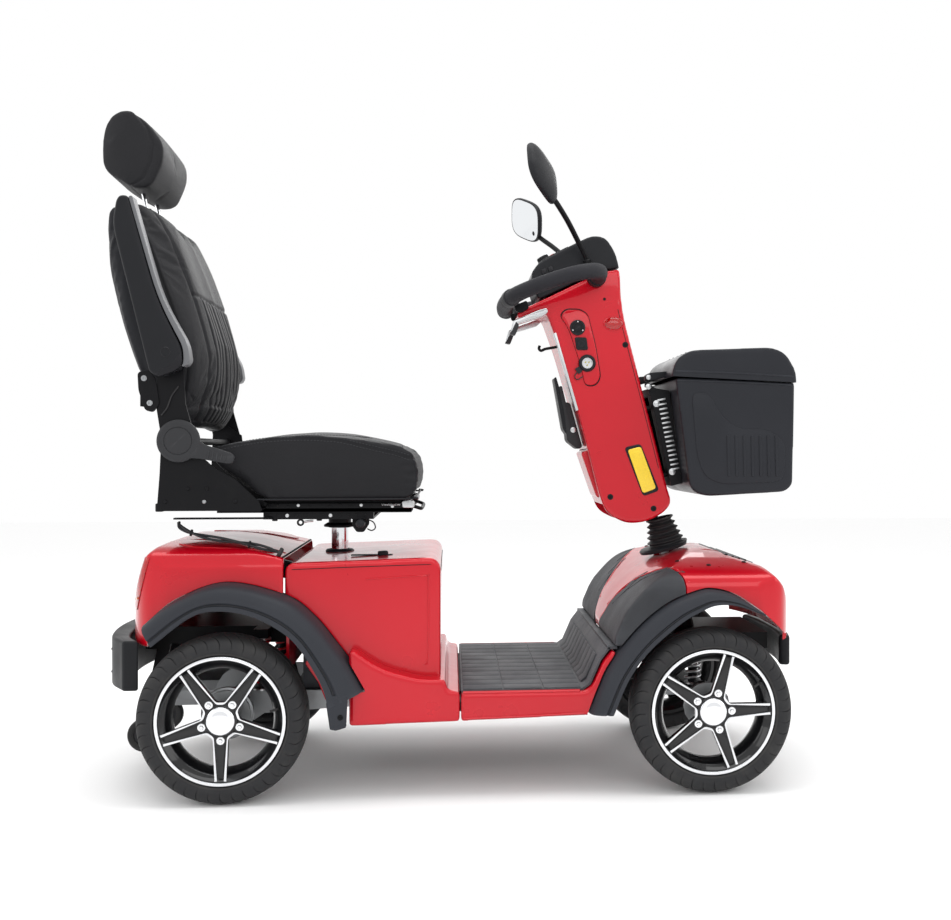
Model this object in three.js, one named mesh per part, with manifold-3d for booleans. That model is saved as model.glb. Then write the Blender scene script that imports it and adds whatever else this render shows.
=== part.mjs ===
// Four-wheel mobility scooter, at rest: seat facing forward, armrests folded up, tiller at its riding tilt.
// Units are millimetres. +X is forward, +Y is the rider's left, +Z is up.
// The design is laid out from the rear axle (X = 0) and the floor (Z = 0), then moved so that the origin
// is under the middle of its bounding box.
import * as THREE from 'three';
import { mergeVertices } from 'three/addons/utils/BufferGeometryUtils.js';
import Module from 'manifold-3d';

const wasm = await Module();
wasm.setup();

// ---- driving dimensions -------------------------------------------------------------------------
const GAP = 0.4;                 // between pieces that touch
const WHEELBASE = 1055;
const AXLE_HEIGHT = 180;         // also the tyre's radius
const TRACK_HALF = 276;          // wheel centre from the middle plane
const TYRE_HALF_WIDTH = 46;
const RIM_LIP_RADIUS = 136;
const RIM_HALF_WIDTH = 42;
const SPOKES = 5;
const WHEEL_FACETS = 28;
const BODY_HALF = 300;           // floor pan and front cowl
const SHELL = 5;                 // wall of the moulded covers
const FENDER_INSIDE = 240;
const FENDER_OUTSIDE = 326;
const RAIL_INSIDE = 95;
const RAIL_OUTSIDE = 120;
const FLOOR_TOP = 226;
const MAT = 4;
const COVER_HALF = 255;          // battery cover
const SEAT_POST_X = 218;
const SEAT_POST_RADIUS = 20;
const CUSHION_HALF = 248;
const RECLINE_PIVOT = [-98, 771];
const ARM_PIVOT = [-112, 957];
const TUBE_RADIUS = 8;           // recline cross tube
const TILLER_HALF = 85;
const STEER_LEAN = THREE.MathUtils.degToRad(15);
const BOX_HALF = 166;            // front box
const BOX_WALL = 3;
const REAR_PIVOT = [290, 190];   // swing arms
const FRONT_PIVOT = [850, 195];
const KINGPIN_Y = 208;

// ---- shared helpers -----------------------------------------------------------------------------
function welded(geometry) {
  const bare = geometry.clone();
  bare.deleteAttribute('normal');
  bare.deleteAttribute('uv');
  const merged = mergeVertices(bare, 1e-3);
  const source = merged.index.array;
  const faces = [];
  for (let i = 0; i < source.length; i += 3) {
    const [a, b, c] = [source[i], source[i + 1], source[i + 2]];
    if (a !== b && b !== c && c !== a) {
      faces.push(a, b, c);
    }
  }
  merged.setIndex(faces);
  return merged;
}

function solidOf(geometry) {
  const merged = welded(geometry);
  const mesh = new wasm.Mesh({
    numProp: 3,
    vertProperties: Float32Array.from(merged.attributes.position.array),
    triVerts: Uint32Array.from(merged.index.array),
  });
  return new wasm.Manifold(mesh);
}

function geometryOf(solid) {
  const mesh = solid.getMesh();
  const geometry = new THREE.BufferGeometry();
  geometry.setAttribute('position', new THREE.BufferAttribute(Float32Array.from(mesh.vertProperties), 3));
  geometry.setIndex(Array.from(mesh.triVerts));
  return geometry;
}

const combined = (operation, [first, ...others]) => (
  geometryOf(others.reduce((solid, g) => solid[operation](solidOf(g)), solidOf(first))));
const join = (...pieces) => combined('add', pieces);
const cut = (...pieces) => combined('subtract', pieces);
const common = (...pieces) => combined('intersect', pieces);

function block([x0, x1], [y0, y1], [z0, z1]) {
  const box = new THREE.BoxGeometry(x1 - x0, y1 - y0, z1 - z0);
  return box.translate((x0 + x1) / 2, (y0 + y1) / 2, (z0 + z1) / 2);
}

// The same block on the side that `side` (-1 right, +1 left) names.
function sideBlock(xs, [y0, y1], zs, side) {
  return block(xs, side > 0 ? [y0, y1] : [-y1, -y0], zs);
}

function rod(from, to, radius, sides = 10) {
  const start = new THREE.Vector3(...from);
  const along = new THREE.Vector3(...to).sub(start);
  const rodGeometry = new THREE.CylinderGeometry(radius, radius, along.length(), sides);
  const turn = new THREE.Quaternion().setFromUnitVectors(new THREE.Vector3(0, 1, 0),
    along.clone().normalize());
  return rodGeometry.applyQuaternion(turn).translate(
    start.x + along.x / 2, start.y + along.y / 2, start.z + along.z / 2);
}

const vectors = (points) => points.map((p) => new THREE.Vector2(...p));
const shapeOf = (outline) => (outline instanceof THREE.Shape ? outline : new THREE.Shape(vectors(outline)));

// An outline in (x, z), with a thickness from y0 to y1. A bevel rounds its two faces' edges.
function sidePlate(outline, y0, y1, { bevel = 0, steps = 5 } = {}) {
  const options = {
    depth: y1 - y0 - 2 * bevel,
    curveSegments: steps,
    bevelEnabled: bevel > 0,
    bevelThickness: bevel,
    bevelSize: bevel,
    bevelOffset: -bevel,
    bevelSegments: 2,
  };
  const plate = new THREE.ExtrudeGeometry(shapeOf(outline), options);
  return plate.translate(0, 0, -(y1 - y0) / 2 + bevel).rotateX(Math.PI / 2).translate(0, (y0 + y1) / 2, 0);
}

const mirroredPlate = (outline, [y0, y1], side, options) => (
  side > 0 ? sidePlate(outline, y0, y1, options) : sidePlate(outline, -y1, -y0, options));

// An outline in (x, y), with a thickness from z0 to z1.
function planPlate(outline, z0, z1, steps = 5) {
  const plate = new THREE.ExtrudeGeometry(shapeOf(outline), {
    depth: z1 - z0, curveSegments: steps, bevelEnabled: false,
  });
  return plate.translate(0, 0, z0);
}

// An outline in (y, z), with a thickness from x0 to x1.
function frontPlate(outline, x0, x1, steps = 5) {
  const plate = new THREE.ExtrudeGeometry(shapeOf(outline), {
    depth: x1 - x0, curveSegments: steps, bevelEnabled: false,
  });
  const turn = new THREE.Matrix4().makeBasis(
    new THREE.Vector3(0, 1, 0), new THREE.Vector3(0, 0, 1), new THREE.Vector3(1, 0, 0));
  return plate.applyMatrix4(turn).translate(x0, 0, 0);
}

// A ring or disc about the Y axis, from a profile of [radius, y] that may go round either way.
function turned(profile, segments) {
  const points = profile.map(([r, y]) => new THREE.Vector2(r, y));
  if (THREE.ShapeUtils.isClockWise(points)) {
    points.reverse();
  }
  return new THREE.LatheGeometry([...points, points[0]], segments);
}

function tube(points, radius, sides, steps) {
  const path = new THREE.CatmullRomCurve3(points.map((p) => new THREE.Vector3(...p)));
  const section = new THREE.Shape();
  for (let i = 0; i < sides; i += 1) {
    const angle = (2 * Math.PI * i) / sides;
    const place = [radius * Math.cos(angle), radius * Math.sin(angle)];
    if (i === 0) {
      section.moveTo(...place);
    } else {
      section.lineTo(...place);
    }
  }
  return new THREE.ExtrudeGeometry(section,
    { steps, extrudePath: path, bevelEnabled: false, curveSegments: 1 });
}

const spline = (shape, points) => shape.splineThru(vectors(points));
const both = (build) => [['right', -1], ['left', 1]].forEach(([word, side]) => build(word, side));

const scooter = new THREE.Group();
function add(name, geometry, material) {
  const node = new THREE.Mesh(geometry, material);
  node.name = name;
  scooter.add(node);
  return node;
}

// ---- materials ----------------------------------------------------------------------------------
const surface = (color, roughness, metalness) => (
  () => new THREE.MeshStandardMaterial({ color, roughness, metalness, flatShading: true }));
const redPaint = surface(0xc00018, 0.18, 0.1);
const blackPlastic = surface(0x1c1c20, 0.5, 0);
const matRubber = surface(0x26262a, 0.85, 0);
const blackSteel = surface(0x141416, 0.45, 0.4);
const chrome = surface(0xd8dade, 0.12, 1);
const brushedSteel = surface(0xa8aaae, 0.35, 1);
const tyreRubber = surface(0x18181a, 0.8, 0);
const rimAlloy = surface(0x2a2a2c, 0.3, 0.8);
const vinyl = surface(0x222226, 0.55, 0);
const clearLens = surface(0xd0d4d8, 0.08, 0);
const greyPlastic = surface(0x3a3a3e, 0.6, 0);
const bootRubber = surface(0x16161a, 0.7, 0);
const castAlloy = surface(0x707478, 0.45, 0.8);
const batteryCase = surface(0x303238, 0.6, 0);

// ---- outlines shared by neighbours --------------------------------------------------------------
const REAR_ARCH_TOP = [[-166, 381], [-101, 432], [2, 467], [126, 438], [188, 393], [240, 329],
  [271, 286], [299, 237]];
const REAR_ARCH_UNDER = [[225, 198], [209, 256], [167, 328], [126, 368], [63, 401], [-2, 412],
  [-60, 400], [-141, 339]];
const FRONT_ARCH_TOP = [[782, 179], [804, 235], [830, 288], [891, 363], [957, 416], [1023, 444], [1062, 447],
  [1111, 432], [1169, 394]];
const FRONT_ARCH_UNDER = [[1169, 388], [1111, 410], [1062, 413], [1023, 398], [979, 372], [913, 315],
  [869, 255],
  [835, 178]];

function rearFenderOutline() {
  const shape = new THREE.Shape();
  shape.moveTo(...REAR_ARCH_TOP[0]);
  spline(shape, REAR_ARCH_TOP.slice(1));
  [[263, 231], [263, 164], [242, 158], [230, 160]].forEach((p) => shape.lineTo(...p));
  spline(shape, REAR_ARCH_UNDER);
  shape.closePath();
  return shape;
}

function frontFenderOutline() {
  const shape = new THREE.Shape();
  shape.moveTo(...FRONT_ARCH_TOP[0]);
  spline(shape, FRONT_ARCH_TOP.slice(1));
  shape.lineTo(...FRONT_ARCH_UNDER[0]);
  spline(shape, FRONT_ARCH_UNDER.slice(1));
  shape.closePath();
  return shape;
}

// The space under each arch's top line, moved out by `margin`, cut from whatever meets a fender.
function rearArchSpace(margin, y0, y1) {
  const shape = new THREE.Shape();
  shape.moveTo(-166 - margin, 0);
  shape.lineTo(-166 - margin, 381);
  spline(shape, REAR_ARCH_TOP.map(([x, z]) => [x + margin * Math.sign(x), z + margin]));
  shape.lineTo(299 + margin, 234);
  shape.lineTo(263 + margin, 227);
  shape.lineTo(263 + margin, 0);
  shape.closePath();
  return sidePlate(shape, y0, y1, { steps: 6 });
}

function frontArchSpace(margin, y0, y1) {
  const shape = new THREE.Shape();
  shape.moveTo(782 - margin, 0);
  shape.lineTo(782 - margin, 179);
  spline(shape, FRONT_ARCH_TOP.map(([x, z]) => [x + (x < 1000 ? -margin : margin), z + margin]));
  [[1228, 342], [1300, 325], [1300, 0]].forEach((p) => shape.lineTo(...p));
  shape.closePath();
  return sidePlate(shape, y0, y1, { steps: 6 });
}

// The steering shaft's axis at height z.
const shaftPoint = (z) => [1010 - (z - 490) * Math.tan(STEER_LEAN), 0, z];

// ---- chassis frame ------------------------------------------------------------------------------
const RAIL_HALF_HEIGHT = 18;
const railLine = [[-178, 330], [104, 330], [140, 190], [818, 190], [872, 300], [1232, 300]];

function chassisFrame() {
  const above = railLine.map(([x, z]) => [x, z + RAIL_HALF_HEIGHT]);
  const below = railLine.map(([x, z]) => [x, z - RAIL_HALF_HEIGHT]).reverse();
  const outline = [...above, ...below];
  const pieces = [
    block([-178, 104], [-RAIL_OUTSIDE, RAIL_OUTSIDE], [344, 350]),
    block([44, 76], [-175, 175], [330, 350]),
    block([126, 806], [-145, 145], [204, 211]),
    block([330, 806], [-200, 200], [204, 211]),
    block([500, 530], [-288, 288], [186, 205]),
    block([740, 766], [-288, 288], [186, 205]),
    block([872, 1232], [-RAIL_OUTSIDE, RAIL_OUTSIDE], [314, 320]),
    block([-178, -150], [-RAIL_OUTSIDE, RAIL_OUTSIDE], [312, 348]),
    block([1206, 1232], [-RAIL_OUTSIDE, RAIL_OUTSIDE], [283, 318]),
    rod([SEAT_POST_X, 0, 207], [SEAT_POST_X, 0, 245], SEAT_POST_RADIUS + 12, 14),
    rod(shaftPoint(312), shaftPoint(420), 26, 12),
  ];
  both((word, side) => {
    pieces.push(mirroredPlate(outline, [RAIL_INSIDE, RAIL_OUTSIDE], side));
    pieces.push(mirroredPlate([[-178, 312], [-150, 312], [-200, 92], [-226, 92]], [112, RAIL_OUTSIDE], side));
    pieces.push(rod([-213, side * 118, 101], [-213, side * 82, 101], 5, 10));
    pieces.push(rod([REAR_PIVOT[0], side * 110, REAR_PIVOT[1]],
      [REAR_PIVOT[0], side * 168, REAR_PIVOT[1]], 8, 8));
    pieces.push(rod([FRONT_PIVOT[0], side * 50, FRONT_PIVOT[1]],
      [FRONT_PIVOT[0], side * 100, FRONT_PIVOT[1]], 8, 8));
    pieces.push(mirroredPlate([[836, 178], [864, 178], [880, 290], [850, 290]], [90, RAIL_INSIDE + 1], side));
    pieces.push(sideBlock([-206, -170], [70, RAIL_OUTSIDE], [300, 320], side));
  });
  const bores = [
    rod([SEAT_POST_X, 0, 212], [SEAT_POST_X, 0, 260], SEAT_POST_RADIUS + GAP, 20),
    rod(shaftPoint(270), shaftPoint(460), 13.5, 12),
  ];
  return cut(join(...pieces), ...bores);
}

// ---- floor, covers and fenders ------------------------------------------------------------------
const RAMP = [[774, FLOOR_TOP], [792, 238], [816, 290], [836, 314]];
const COWL_TOP = [[842, 347], [874, 408], [948, 476], [1073, 517], [1148, 499], [1186, 489], [1224, 449],
  [1262, 379],
  [1275, 330]];

function floorPan() {
  const top = [[505, FLOOR_TOP], ...RAMP];
  const outer = sidePlate([[505, 166], [781, 174], [842, 174], [842, 314], ...top.slice().reverse()],
    -BODY_HALF, BODY_HALF);
  const inner = sidePlate([[500, 100], [900, 100], [900, 304], [841, 304], [821, 284], [797, 234],
    [776, FLOOR_TOP - SHELL], [500, FLOOR_TOP - SHELL]], -(BODY_HALF - SHELL), BODY_HALF - SHELL);
  const arches = [frontArchSpace(1, FENDER_INSIDE - 1, 400), frontArchSpace(1, -400, -(FENDER_INSIDE - 1))];
  return cut(outer, inner, ...arches);
}

// The front body's outer skin, moved in by `inset`; the red cowl and the mat's side wings share it.
function frontBody(inset) {
  const side = new THREE.Shape();
  side.moveTo(838 + inset, 322);
  side.lineTo(842 + inset, 347 - inset);
  spline(side, COWL_TOP.slice(1, 6).map(([x, z]) => [x, z - inset]));
  COWL_TOP.slice(6).forEach(([x, z]) => side.lineTo(x - inset, z - inset / 2));
  side.lineTo(1270 - inset, inset > 0 ? 300 : 322);
  side.lineTo(838 + inset, inset > 0 ? 300 : 322);
  side.closePath();
  const half = BODY_HALF - inset;
  const front = new THREE.Shape();
  front.moveTo(-half, 200);
  front.lineTo(-half, 452 - inset);
  spline(front, [[-half + 14, 474 - inset], [-240, 490 - inset], [-120, 510 - inset], [0, 518 - inset],
    [120, 510 - inset], [240, 490 - inset], [half - 14, 474 - inset], [half, 452 - inset]]);
  front.lineTo(half, 200);
  front.closePath();
  const plan = new THREE.Shape();
  plan.moveTo(700, -half - 10);
  plan.lineTo(1165, -half);
  spline(plan, [[1222 - inset, -half + 22], [1255 - inset, -190], [1276 - inset, -70], [1276 - inset, 70],
    [1255 - inset, 190], [1222 - inset, half - 22], [1165, half]]);
  plan.lineTo(700, half + 10);
  plan.closePath();
  return common(sidePlate(side, -half, half, { steps: 3 }), frontPlate(front, 800, 1300, 2),
    planPlate(plan, 200, 600, 2));
}

function frontShell() {
  const arches = [frontArchSpace(1, FENDER_INSIDE - 1, 400), frontArchSpace(1, -400, -(FENDER_INSIDE - 1))];
  return cut(frontBody(0), frontBody(SHELL), ...arches);
}

const cowlPlan = (grow) => planPlate([[840 - grow, -40], [852 - grow, -70], [905 - grow, -130 - grow],
  [960 - grow, -220 - grow], [1008 - grow, -320], [1320, -320], [1320, 320], [1008 - grow, 320],
  [960 - grow, 220 + grow], [905 - grow, 130 + grow], [852 - grow, 70], [840 - grow, 40]], 316, 600);

const lampZone = (grow) =>
  sidePlate([[1122 - grow, 540], [1122 - grow, 490], [1160, 428 - grow], [1206, 398 - grow],
  [1258, 372 - grow], [1320, 372 - grow], [1320, 540]], -150 - grow, 150 + grow);

function floorMat() {
  const line = [[506, FLOOR_TOP + GAP], [772, FLOOR_TOP + GAP], [789, 239], [812, 291], [833, 318]];
  const above = line.map(([x, z]) => [x - (z > 230 ? MAT : 0), z + (z > 230 ? 2 : MAT)]).reverse();
  const sheet = sidePlate([...line, ...above], -BODY_HALF + 14, BODY_HALF - 14);
  const arches = [frontArchSpace(1, FENDER_INSIDE - 1, 400), frontArchSpace(1, -400, -(FENDER_INSIDE - 1))];
  const link = block([826, 848], [-BODY_HALF + 14, BODY_HALF - 14], [316, 322.4]);
  const wings = cut(frontShell(), cowlPlan(GAP));
  return join(cut(sheet, ...arches), cut(link, ...arches, cowlPlan(GAP)), wings);
}

function lampUnit() {
  const depth = 16;
  return cut(common(frontBody(0), lampZone(-GAP)), frontBody(depth));
}

function fender(outline, top, side) {
  const band = mirroredPlate(outline, [FENDER_INSIDE, FENDER_OUTSIDE], side, { steps: 3 });
  const hollow = new THREE.Shape();
  const middle = top.reduce((sum, [x, z]) => [sum[0] + x / top.length, sum[1] + z / top.length], [0, 0]);
  const inward = top.map(([x, z]) => {
    const reach = Math.hypot(x - middle[0], z - AXLE_HEIGHT);
    const scale = (reach - SHELL) / reach;
    return [middle[0] + (x - middle[0]) * scale, AXLE_HEIGHT + (z - AXLE_HEIGHT) * scale];
  });
  hollow.moveTo(middle[0] - 500, -100);
  hollow.lineTo(inward[0][0] - (inward[0][1] > 300 ? 60 : 0), inward[0][1] - (inward[0][1] > 300 ? 60 : 90));
  hollow.lineTo(...inward[0]);
  spline(hollow, inward.slice(1));
  const last = inward[inward.length - 1];
  hollow.lineTo(last[0] + (last[1] > 300 ? 60 : -30), last[1] - (last[1] > 300 ? 60 : 40));
  hollow.lineTo(middle[0] + 500, -100);
  hollow.closePath();
  return cut(band, mirroredPlate(hollow, [FENDER_INSIDE - 10, FENDER_OUTSIDE - SHELL], side, { steps: 3 }));
}

function batteryCover() {
  const box = sidePlate([[124, 262], [124, 494], [136, 506], [446, 516], [462, 500], [462, 235], [300, 235]],
    -COVER_HALF, COVER_HALF, { bevel: 12 });
  const boxInside = sidePlate([[129, 100], [129, 492], [139, 501], [444, 511], [457, 498], [457, 100]],
    -COVER_HALF + SHELL, COVER_HALF - SHELL);
  const skirt = sidePlate([[266, 160], [504, 166], [504, 229], [477, 235], [471, 257], [420, 257], [334, 280],
    [276, 322], [266, 322]], -BODY_HALF, BODY_HALF);
  const skirtInside = sidePlate([[200, 100], [504.5, 100], [504.5, 224], [473, 230], [466, 252], [418, 252],
    [331, 275], [200, 300]], -BODY_HALF + SHELL, BODY_HALF - SHELL);
  const post = rod([SEAT_POST_X, 0, 400], [SEAT_POST_X, 0, 600], SEAT_POST_RADIUS + 1, 20);
  const arches = [rearArchSpace(1, 226, 400), rearArchSpace(1, -400, -226)];
  const notches = [-1, 1].map((side) => (
    sideBlock([118, 131], [RAIL_INSIDE - 2, RAIL_OUTSIDE + 2], [250, 278], side)));
  return cut(join(box, skirt), boxInside, skirtInside, post, ...arches, ...notches);
}

function rearBody(inset) {
  const side = new THREE.Shape();
  side.moveTo(-236 + inset, inset > 0 ? 200 : 326);
  side.lineTo(-240 + inset, 348);
  side.lineTo(-172 + inset, 524 - inset);
  spline(side, [[-150 + inset, 543 - inset], [-112, 551 - inset], [5, 543 - inset],
    [122 + (inset > 0 ? 20 : 0), 517 - inset]]);
  side.lineTo(122 + (inset > 0 ? 20 : 0), inset > 0 ? 200 : 326);
  side.closePath();
  const half = 262 - inset;
  const plan = new THREE.Shape();
  plan.moveTo(200, -half);
  plan.lineTo(-130, -half);
  spline(plan, [[-178 + inset, -half + 18], [-208 + inset, -190], [-238 + inset, -70], [-238 + inset, 70],
    [-208 + inset, 190], [-178 + inset, half - 18], [-130, half]]);
  plan.lineTo(200, half);
  plan.closePath();
  const front = new THREE.Shape();
  front.moveTo(-half, 100);
  front.lineTo(-half, 500 - inset);
  spline(front, [[-half + 22, 532 - inset], [-180, 545 - inset], [0, 552 - inset], [180, 545 - inset],
    [half - 22, 532 - inset], [half, 500 - inset]]);
  front.lineTo(half, 100);
  front.closePath();
  return common(sidePlate(side, -half, half, { steps: 3 }), planPlate(plan, 150, 600, 2),
    frontPlate(front, -300, 200, 2));
}

function rearCowl() {
  return cut(rearBody(0), rearBody(SHELL), rearArchSpace(1, -400, 400));
}

function curvedBar(outside, inside, zs) {
  const shape = new THREE.Shape();
  shape.moveTo(...outside[0]);
  spline(shape, outside.slice(1));
  shape.lineTo(...inside[0]);
  spline(shape, inside.slice(1));
  shape.closePath();
  return planPlate(shape, ...zs, 3);
}

add('chassis_frame', chassisFrame(), blackSteel());
add('deck_pan', floorPan(), redPaint());
add('deck_mat', floorMat(), matRubber());
add('front_cowl', cut(common(frontShell(), cowlPlan(0)), lampZone(0),
  rod(shaftPoint(460), shaftPoint(520), 26, 12)),
  redPaint());
add('headlamp_unit', lampUnit(), clearLens());
add('battery_cover', batteryCover(), redPaint());
add('rear_cowl', rearCowl(), redPaint());
add('rear_bumper', curvedBar([[-218, -255], [-262, -180], [-286, -60], [-286, 60], [-262, 180], [-218, 255]],
  [[-184, 255], [-222, 180], [-243, 60], [-243, -60], [-222, -180], [-184, -255]], [233, 341]),
    blackPlastic());
add('front_bumper', curvedBar([[1271, 170], [1284, 110], [1289, 40], [1289, -40], [1284, -110], [1271, -170]],
  [[1247, -164], [1257, -105], [1262, -40], [1262, 40], [1257, 105], [1247, 164]], [250, 320]),
    blackPlastic());
both((word, side) => {
  add(`rear_fender_${word}`, fender(rearFenderOutline(), REAR_ARCH_TOP, side), blackPlastic());
  add(`front_fender_${word}`, fender(frontFenderOutline(), FRONT_ARCH_TOP, side), blackPlastic());
});
add('seat_post', rod([SEAT_POST_X, 0, 212 + GAP], [SEAT_POST_X, 0, 583], SEAT_POST_RADIUS, 20), chrome());
add('battery_pack', join(block([150, 420], [-145, -34], [211 + GAP, 425]),
  block([150, 420], [34, 145], [211 + GAP, 425]),
  block([300, 340], [-40, 40], [400, 425])), batteryCase());

// The seat's wiring loom: from the swivel plate's clip down to the seam between the two rear covers.
const LOOM = [[-112, -204, 593], [-108, -209, 583], [-80, -226, 571], [-46, -232, 562], [0, -232, 554],
  [46, -233, 546], [84, -236, 536], [112, -238, 528]];
const LOOM_RADIUS = 6;
add('seat_loom', tube(LOOM, LOOM_RADIUS, 8, 16), bootRubber());

// ---- wheels -------------------------------------------------------------------------------------
function rim() {
  const w = RIM_HALF_WIDTH;
  const barrel = turned([[122, -w + 2], [122, w - 2], [RIM_LIP_RADIUS, w], [RIM_LIP_RADIUS, w - 5],
    [129, w - 8],
    [129, -w + 8], [RIM_LIP_RADIUS, -w + 5], [RIM_LIP_RADIUS, -w]], WHEEL_FACETS);
  const hub = turned([[0, 0], [34, 0], [38, 36], [0, 36]], 10);
  const pocket = rod([0, -5, 0], [0, 26, 0], 10, 8);
  const spokes = [];
  for (let i = 0; i < SPOKES; i += 1) {
    const spoke = new THREE.ExtrudeGeometry(shapeOf([[20, -20], [124, -13], [124, 13], [20, 20]]),
      { depth: 14, bevelEnabled: false });
    spokes.push(spoke.rotateX(-Math.PI / 2).translate(0, 22, 0).rotateY((2 * Math.PI * i) / SPOKES));
  }
  return cut(join(barrel, hub, ...spokes), pocket);
}

function tyre() {
  const half = [[129.5, 33.5], [136.5, 36.5], [146, TYRE_HALF_WIDTH], [166, TYRE_HALF_WIDTH - 1],
    [AXLE_HEIGHT, 20]];
  return turned([...half.map(([r, y]) => [r, -y]).reverse(), ...half], WHEEL_FACETS);
}

function addWheel(end, x, spokeAngle) {
  both((word, side) => {
    const rimNode = add(`${end}_rim_${word}`, rim(), rimAlloy());
    rimNode.position.set(x, side * TRACK_HALF, AXLE_HEIGHT);
    rimNode.rotation.set(side > 0 ? 0 : Math.PI, THREE.MathUtils.degToRad(spokeAngle), 0);
    const tyreNode = add(`${end}_tyre_${word}`, tyre(), tyreRubber());
    tyreNode.position.copy(rimNode.position);
    tyreNode.rotation.copy(rimNode.rotation);
  });
}

addWheel('rear', 0, -90);
addWheel('front', WHEELBASE, -3);

// ---- rear swing axle ----------------------------------------------------------------------------
function transaxle() {
  const pieces = [
    rod([0, -226, AXLE_HEIGHT], [0, 226, AXLE_HEIGHT], 27, 12),
    rod([0, -52, AXLE_HEIGHT], [0, 52, AXLE_HEIGHT], 66, 16),
    rod([-40, 0, 188], [-176, 0, 188], 44, 12),
  ];
  both((word, side) => {
    pieces.push(rod([0, side * 220, AXLE_HEIGHT], [0, side * 296, AXLE_HEIGHT], 8, 8));
    pieces.push(rod([0, side * 246, AXLE_HEIGHT], [0, side * 254, AXLE_HEIGHT], 52, 16));
    pieces.push(mirroredPlate([[-20, 196], [-20, 160], [60, 160], [REAR_PIVOT[0] + 18, 174],
      [REAR_PIVOT[0] + 18, 206],
      [100, 212], [30, 212]], [150, 162], side));
  });
  const eye = rod([REAR_PIVOT[0], -200, REAR_PIVOT[1]], [REAR_PIVOT[0], 200, REAR_PIVOT[1]], 9, 8);
  return cut(join(...pieces), eye);
}

// A coil spring with its damper, as one ribbed solid about a vertical axis.
function springSolid(radius, height, ribs) {
  const profile = [[0, 0]];
  for (let i = 0; i <= ribs * 2; i += 1) {
    profile.push([i % 2 ? radius : radius * 0.8, (height * i) / (ribs * 2)]);
  }
  profile.push([0, height]);
  return turned(profile, 10).rotateX(Math.PI / 2);
}

add('transaxle', transaxle(), castAlloy());
both((word, side) => {
  const shock = add(`rear_shock_${word}`, springSolid(20, 329.6 - 212.4, 5), brushedSteel());
  shock.position.set(60, side * 156, 212.4);
});

// ---- front swing axle and steering --------------------------------------------------------------
function frontBeam() {
  const pieces = [block([WHEELBASE - 18, WHEELBASE + 18], [-186, 186], [165, 199])];
  both((word, side) => {
    pieces.push(mirroredPlate([[FRONT_PIVOT[0] - 16, 182], [FRONT_PIVOT[0] - 16, 208], [WHEELBASE, 196],
      [WHEELBASE, 170]], [60, 74], side));
    pieces.push(sideBlock([WHEELBASE - 14, WHEELBASE + 14], [180, 222], [212, 220], side));
    pieces.push(sideBlock([WHEELBASE - 14, WHEELBASE + 14], [180, 222], [140, 148], side));
    pieces.push(sideBlock([WHEELBASE - 14, WHEELBASE + 14], [178, 186], [140, 220], side));
    pieces.push(rod([WHEELBASE, side * KINGPIN_Y, 136], [WHEELBASE, side * KINGPIN_Y, 226], 8, 8));
  });
  const eye = rod([FRONT_PIVOT[0], -90, FRONT_PIVOT[1]], [FRONT_PIVOT[0], 90, FRONT_PIVOT[1]], 9, 8);
  return cut(join(...pieces), eye);
}

const ARM_END_X = 973;

function knuckle(side) {
  const body = join(
    sideBlock([WHEELBASE - 15, WHEELBASE + 15], [194, 224], [149, 211], side),
    rod([WHEELBASE, side * 220, AXLE_HEIGHT], [WHEELBASE, side * 296, AXLE_HEIGHT], 8, 8),
    rod([WHEELBASE, side * 246, AXLE_HEIGHT], [WHEELBASE, side * 254, AXLE_HEIGHT], 52, 16),
    sideBlock([ARM_END_X - 10, WHEELBASE - 10], [198, 210], [196, 206], side),
  );
  return cut(body, rod([WHEELBASE, side * KINGPIN_Y, 120], [WHEELBASE, side * KINGPIN_Y, 240], 9, 8));
}

function trackRod() {
  const rodBody = rod([ARM_END_X, -196, 217], [ARM_END_X, 196, 217], 7, 8);
  const eyes = [-204, 204].map((y) => rod([ARM_END_X, y, 210], [ARM_END_X, y, 224], 12, 10));
  return join(rodBody, ...eyes, block([ARM_END_X - 10, ARM_END_X + 10], [-16, 16], [212, 222]));
}

function steeringShaft() {
  const reach = 88;
  const foot = shaftPoint(292);
  const arm = rod([foot[0], 0, foot[2] + 6],
    [foot[0] - reach, 0, foot[2] + 6 - reach * Math.tan(STEER_LEAN)], 7, 12);
  const ears = [-1, 1].map((side) => mirroredPlate([[982, 512], [1016, 516], [1009, 562], [983, 562]],
    [14, 20], side));
  const bridge = block([984, 1014], [-20, 20], [506, 520]);
  return join(rod(foot, shaftPoint(514), 12, 12), arm, rod(shaftPoint(440), shaftPoint(470), 20, 12),
    bridge, ...ears);
}

// A bellows about its own axis: folds narrow from bottom to top.
function bellows(bottomRadius, topRadius, height, folds) {
  const wall = 2.5;
  const outside = [];
  const inside = [];
  for (let i = 0; i <= folds * 2; i += 1) {
    const along = i / (folds * 2);
    const radius = bottomRadius + (topRadius - bottomRadius) * along - (i % 2 ? 7 : 0);
    outside.push([radius, height * along]);
    inside.push([radius - wall, height * along]);
  }
  return turned([...outside, ...inside.reverse()], 12).rotateX(Math.PI / 2);
}

add('front_axle', frontBeam(), blackSteel());
both((word, side) => {
  const spring = add(`front_spring_${word}`, springSolid(20, 281.5 - 199.5, 4), brushedSteel());
  spring.position.set(WHEELBASE, side * 108, 199.5);
  add(`steering_knuckle_${word}`, knuckle(side), castAlloy());
});
add('track_rod', trackRod(), brushedSteel());
add('steering_shaft', steeringShaft(), brushedSteel());
const boot = add('steering_bellows', bellows(50, 34, 66, 5), bootRubber());
boot.position.set(1014, 0, 519);
boot.rotation.set(0, -STEER_LEAN, 0);

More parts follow.
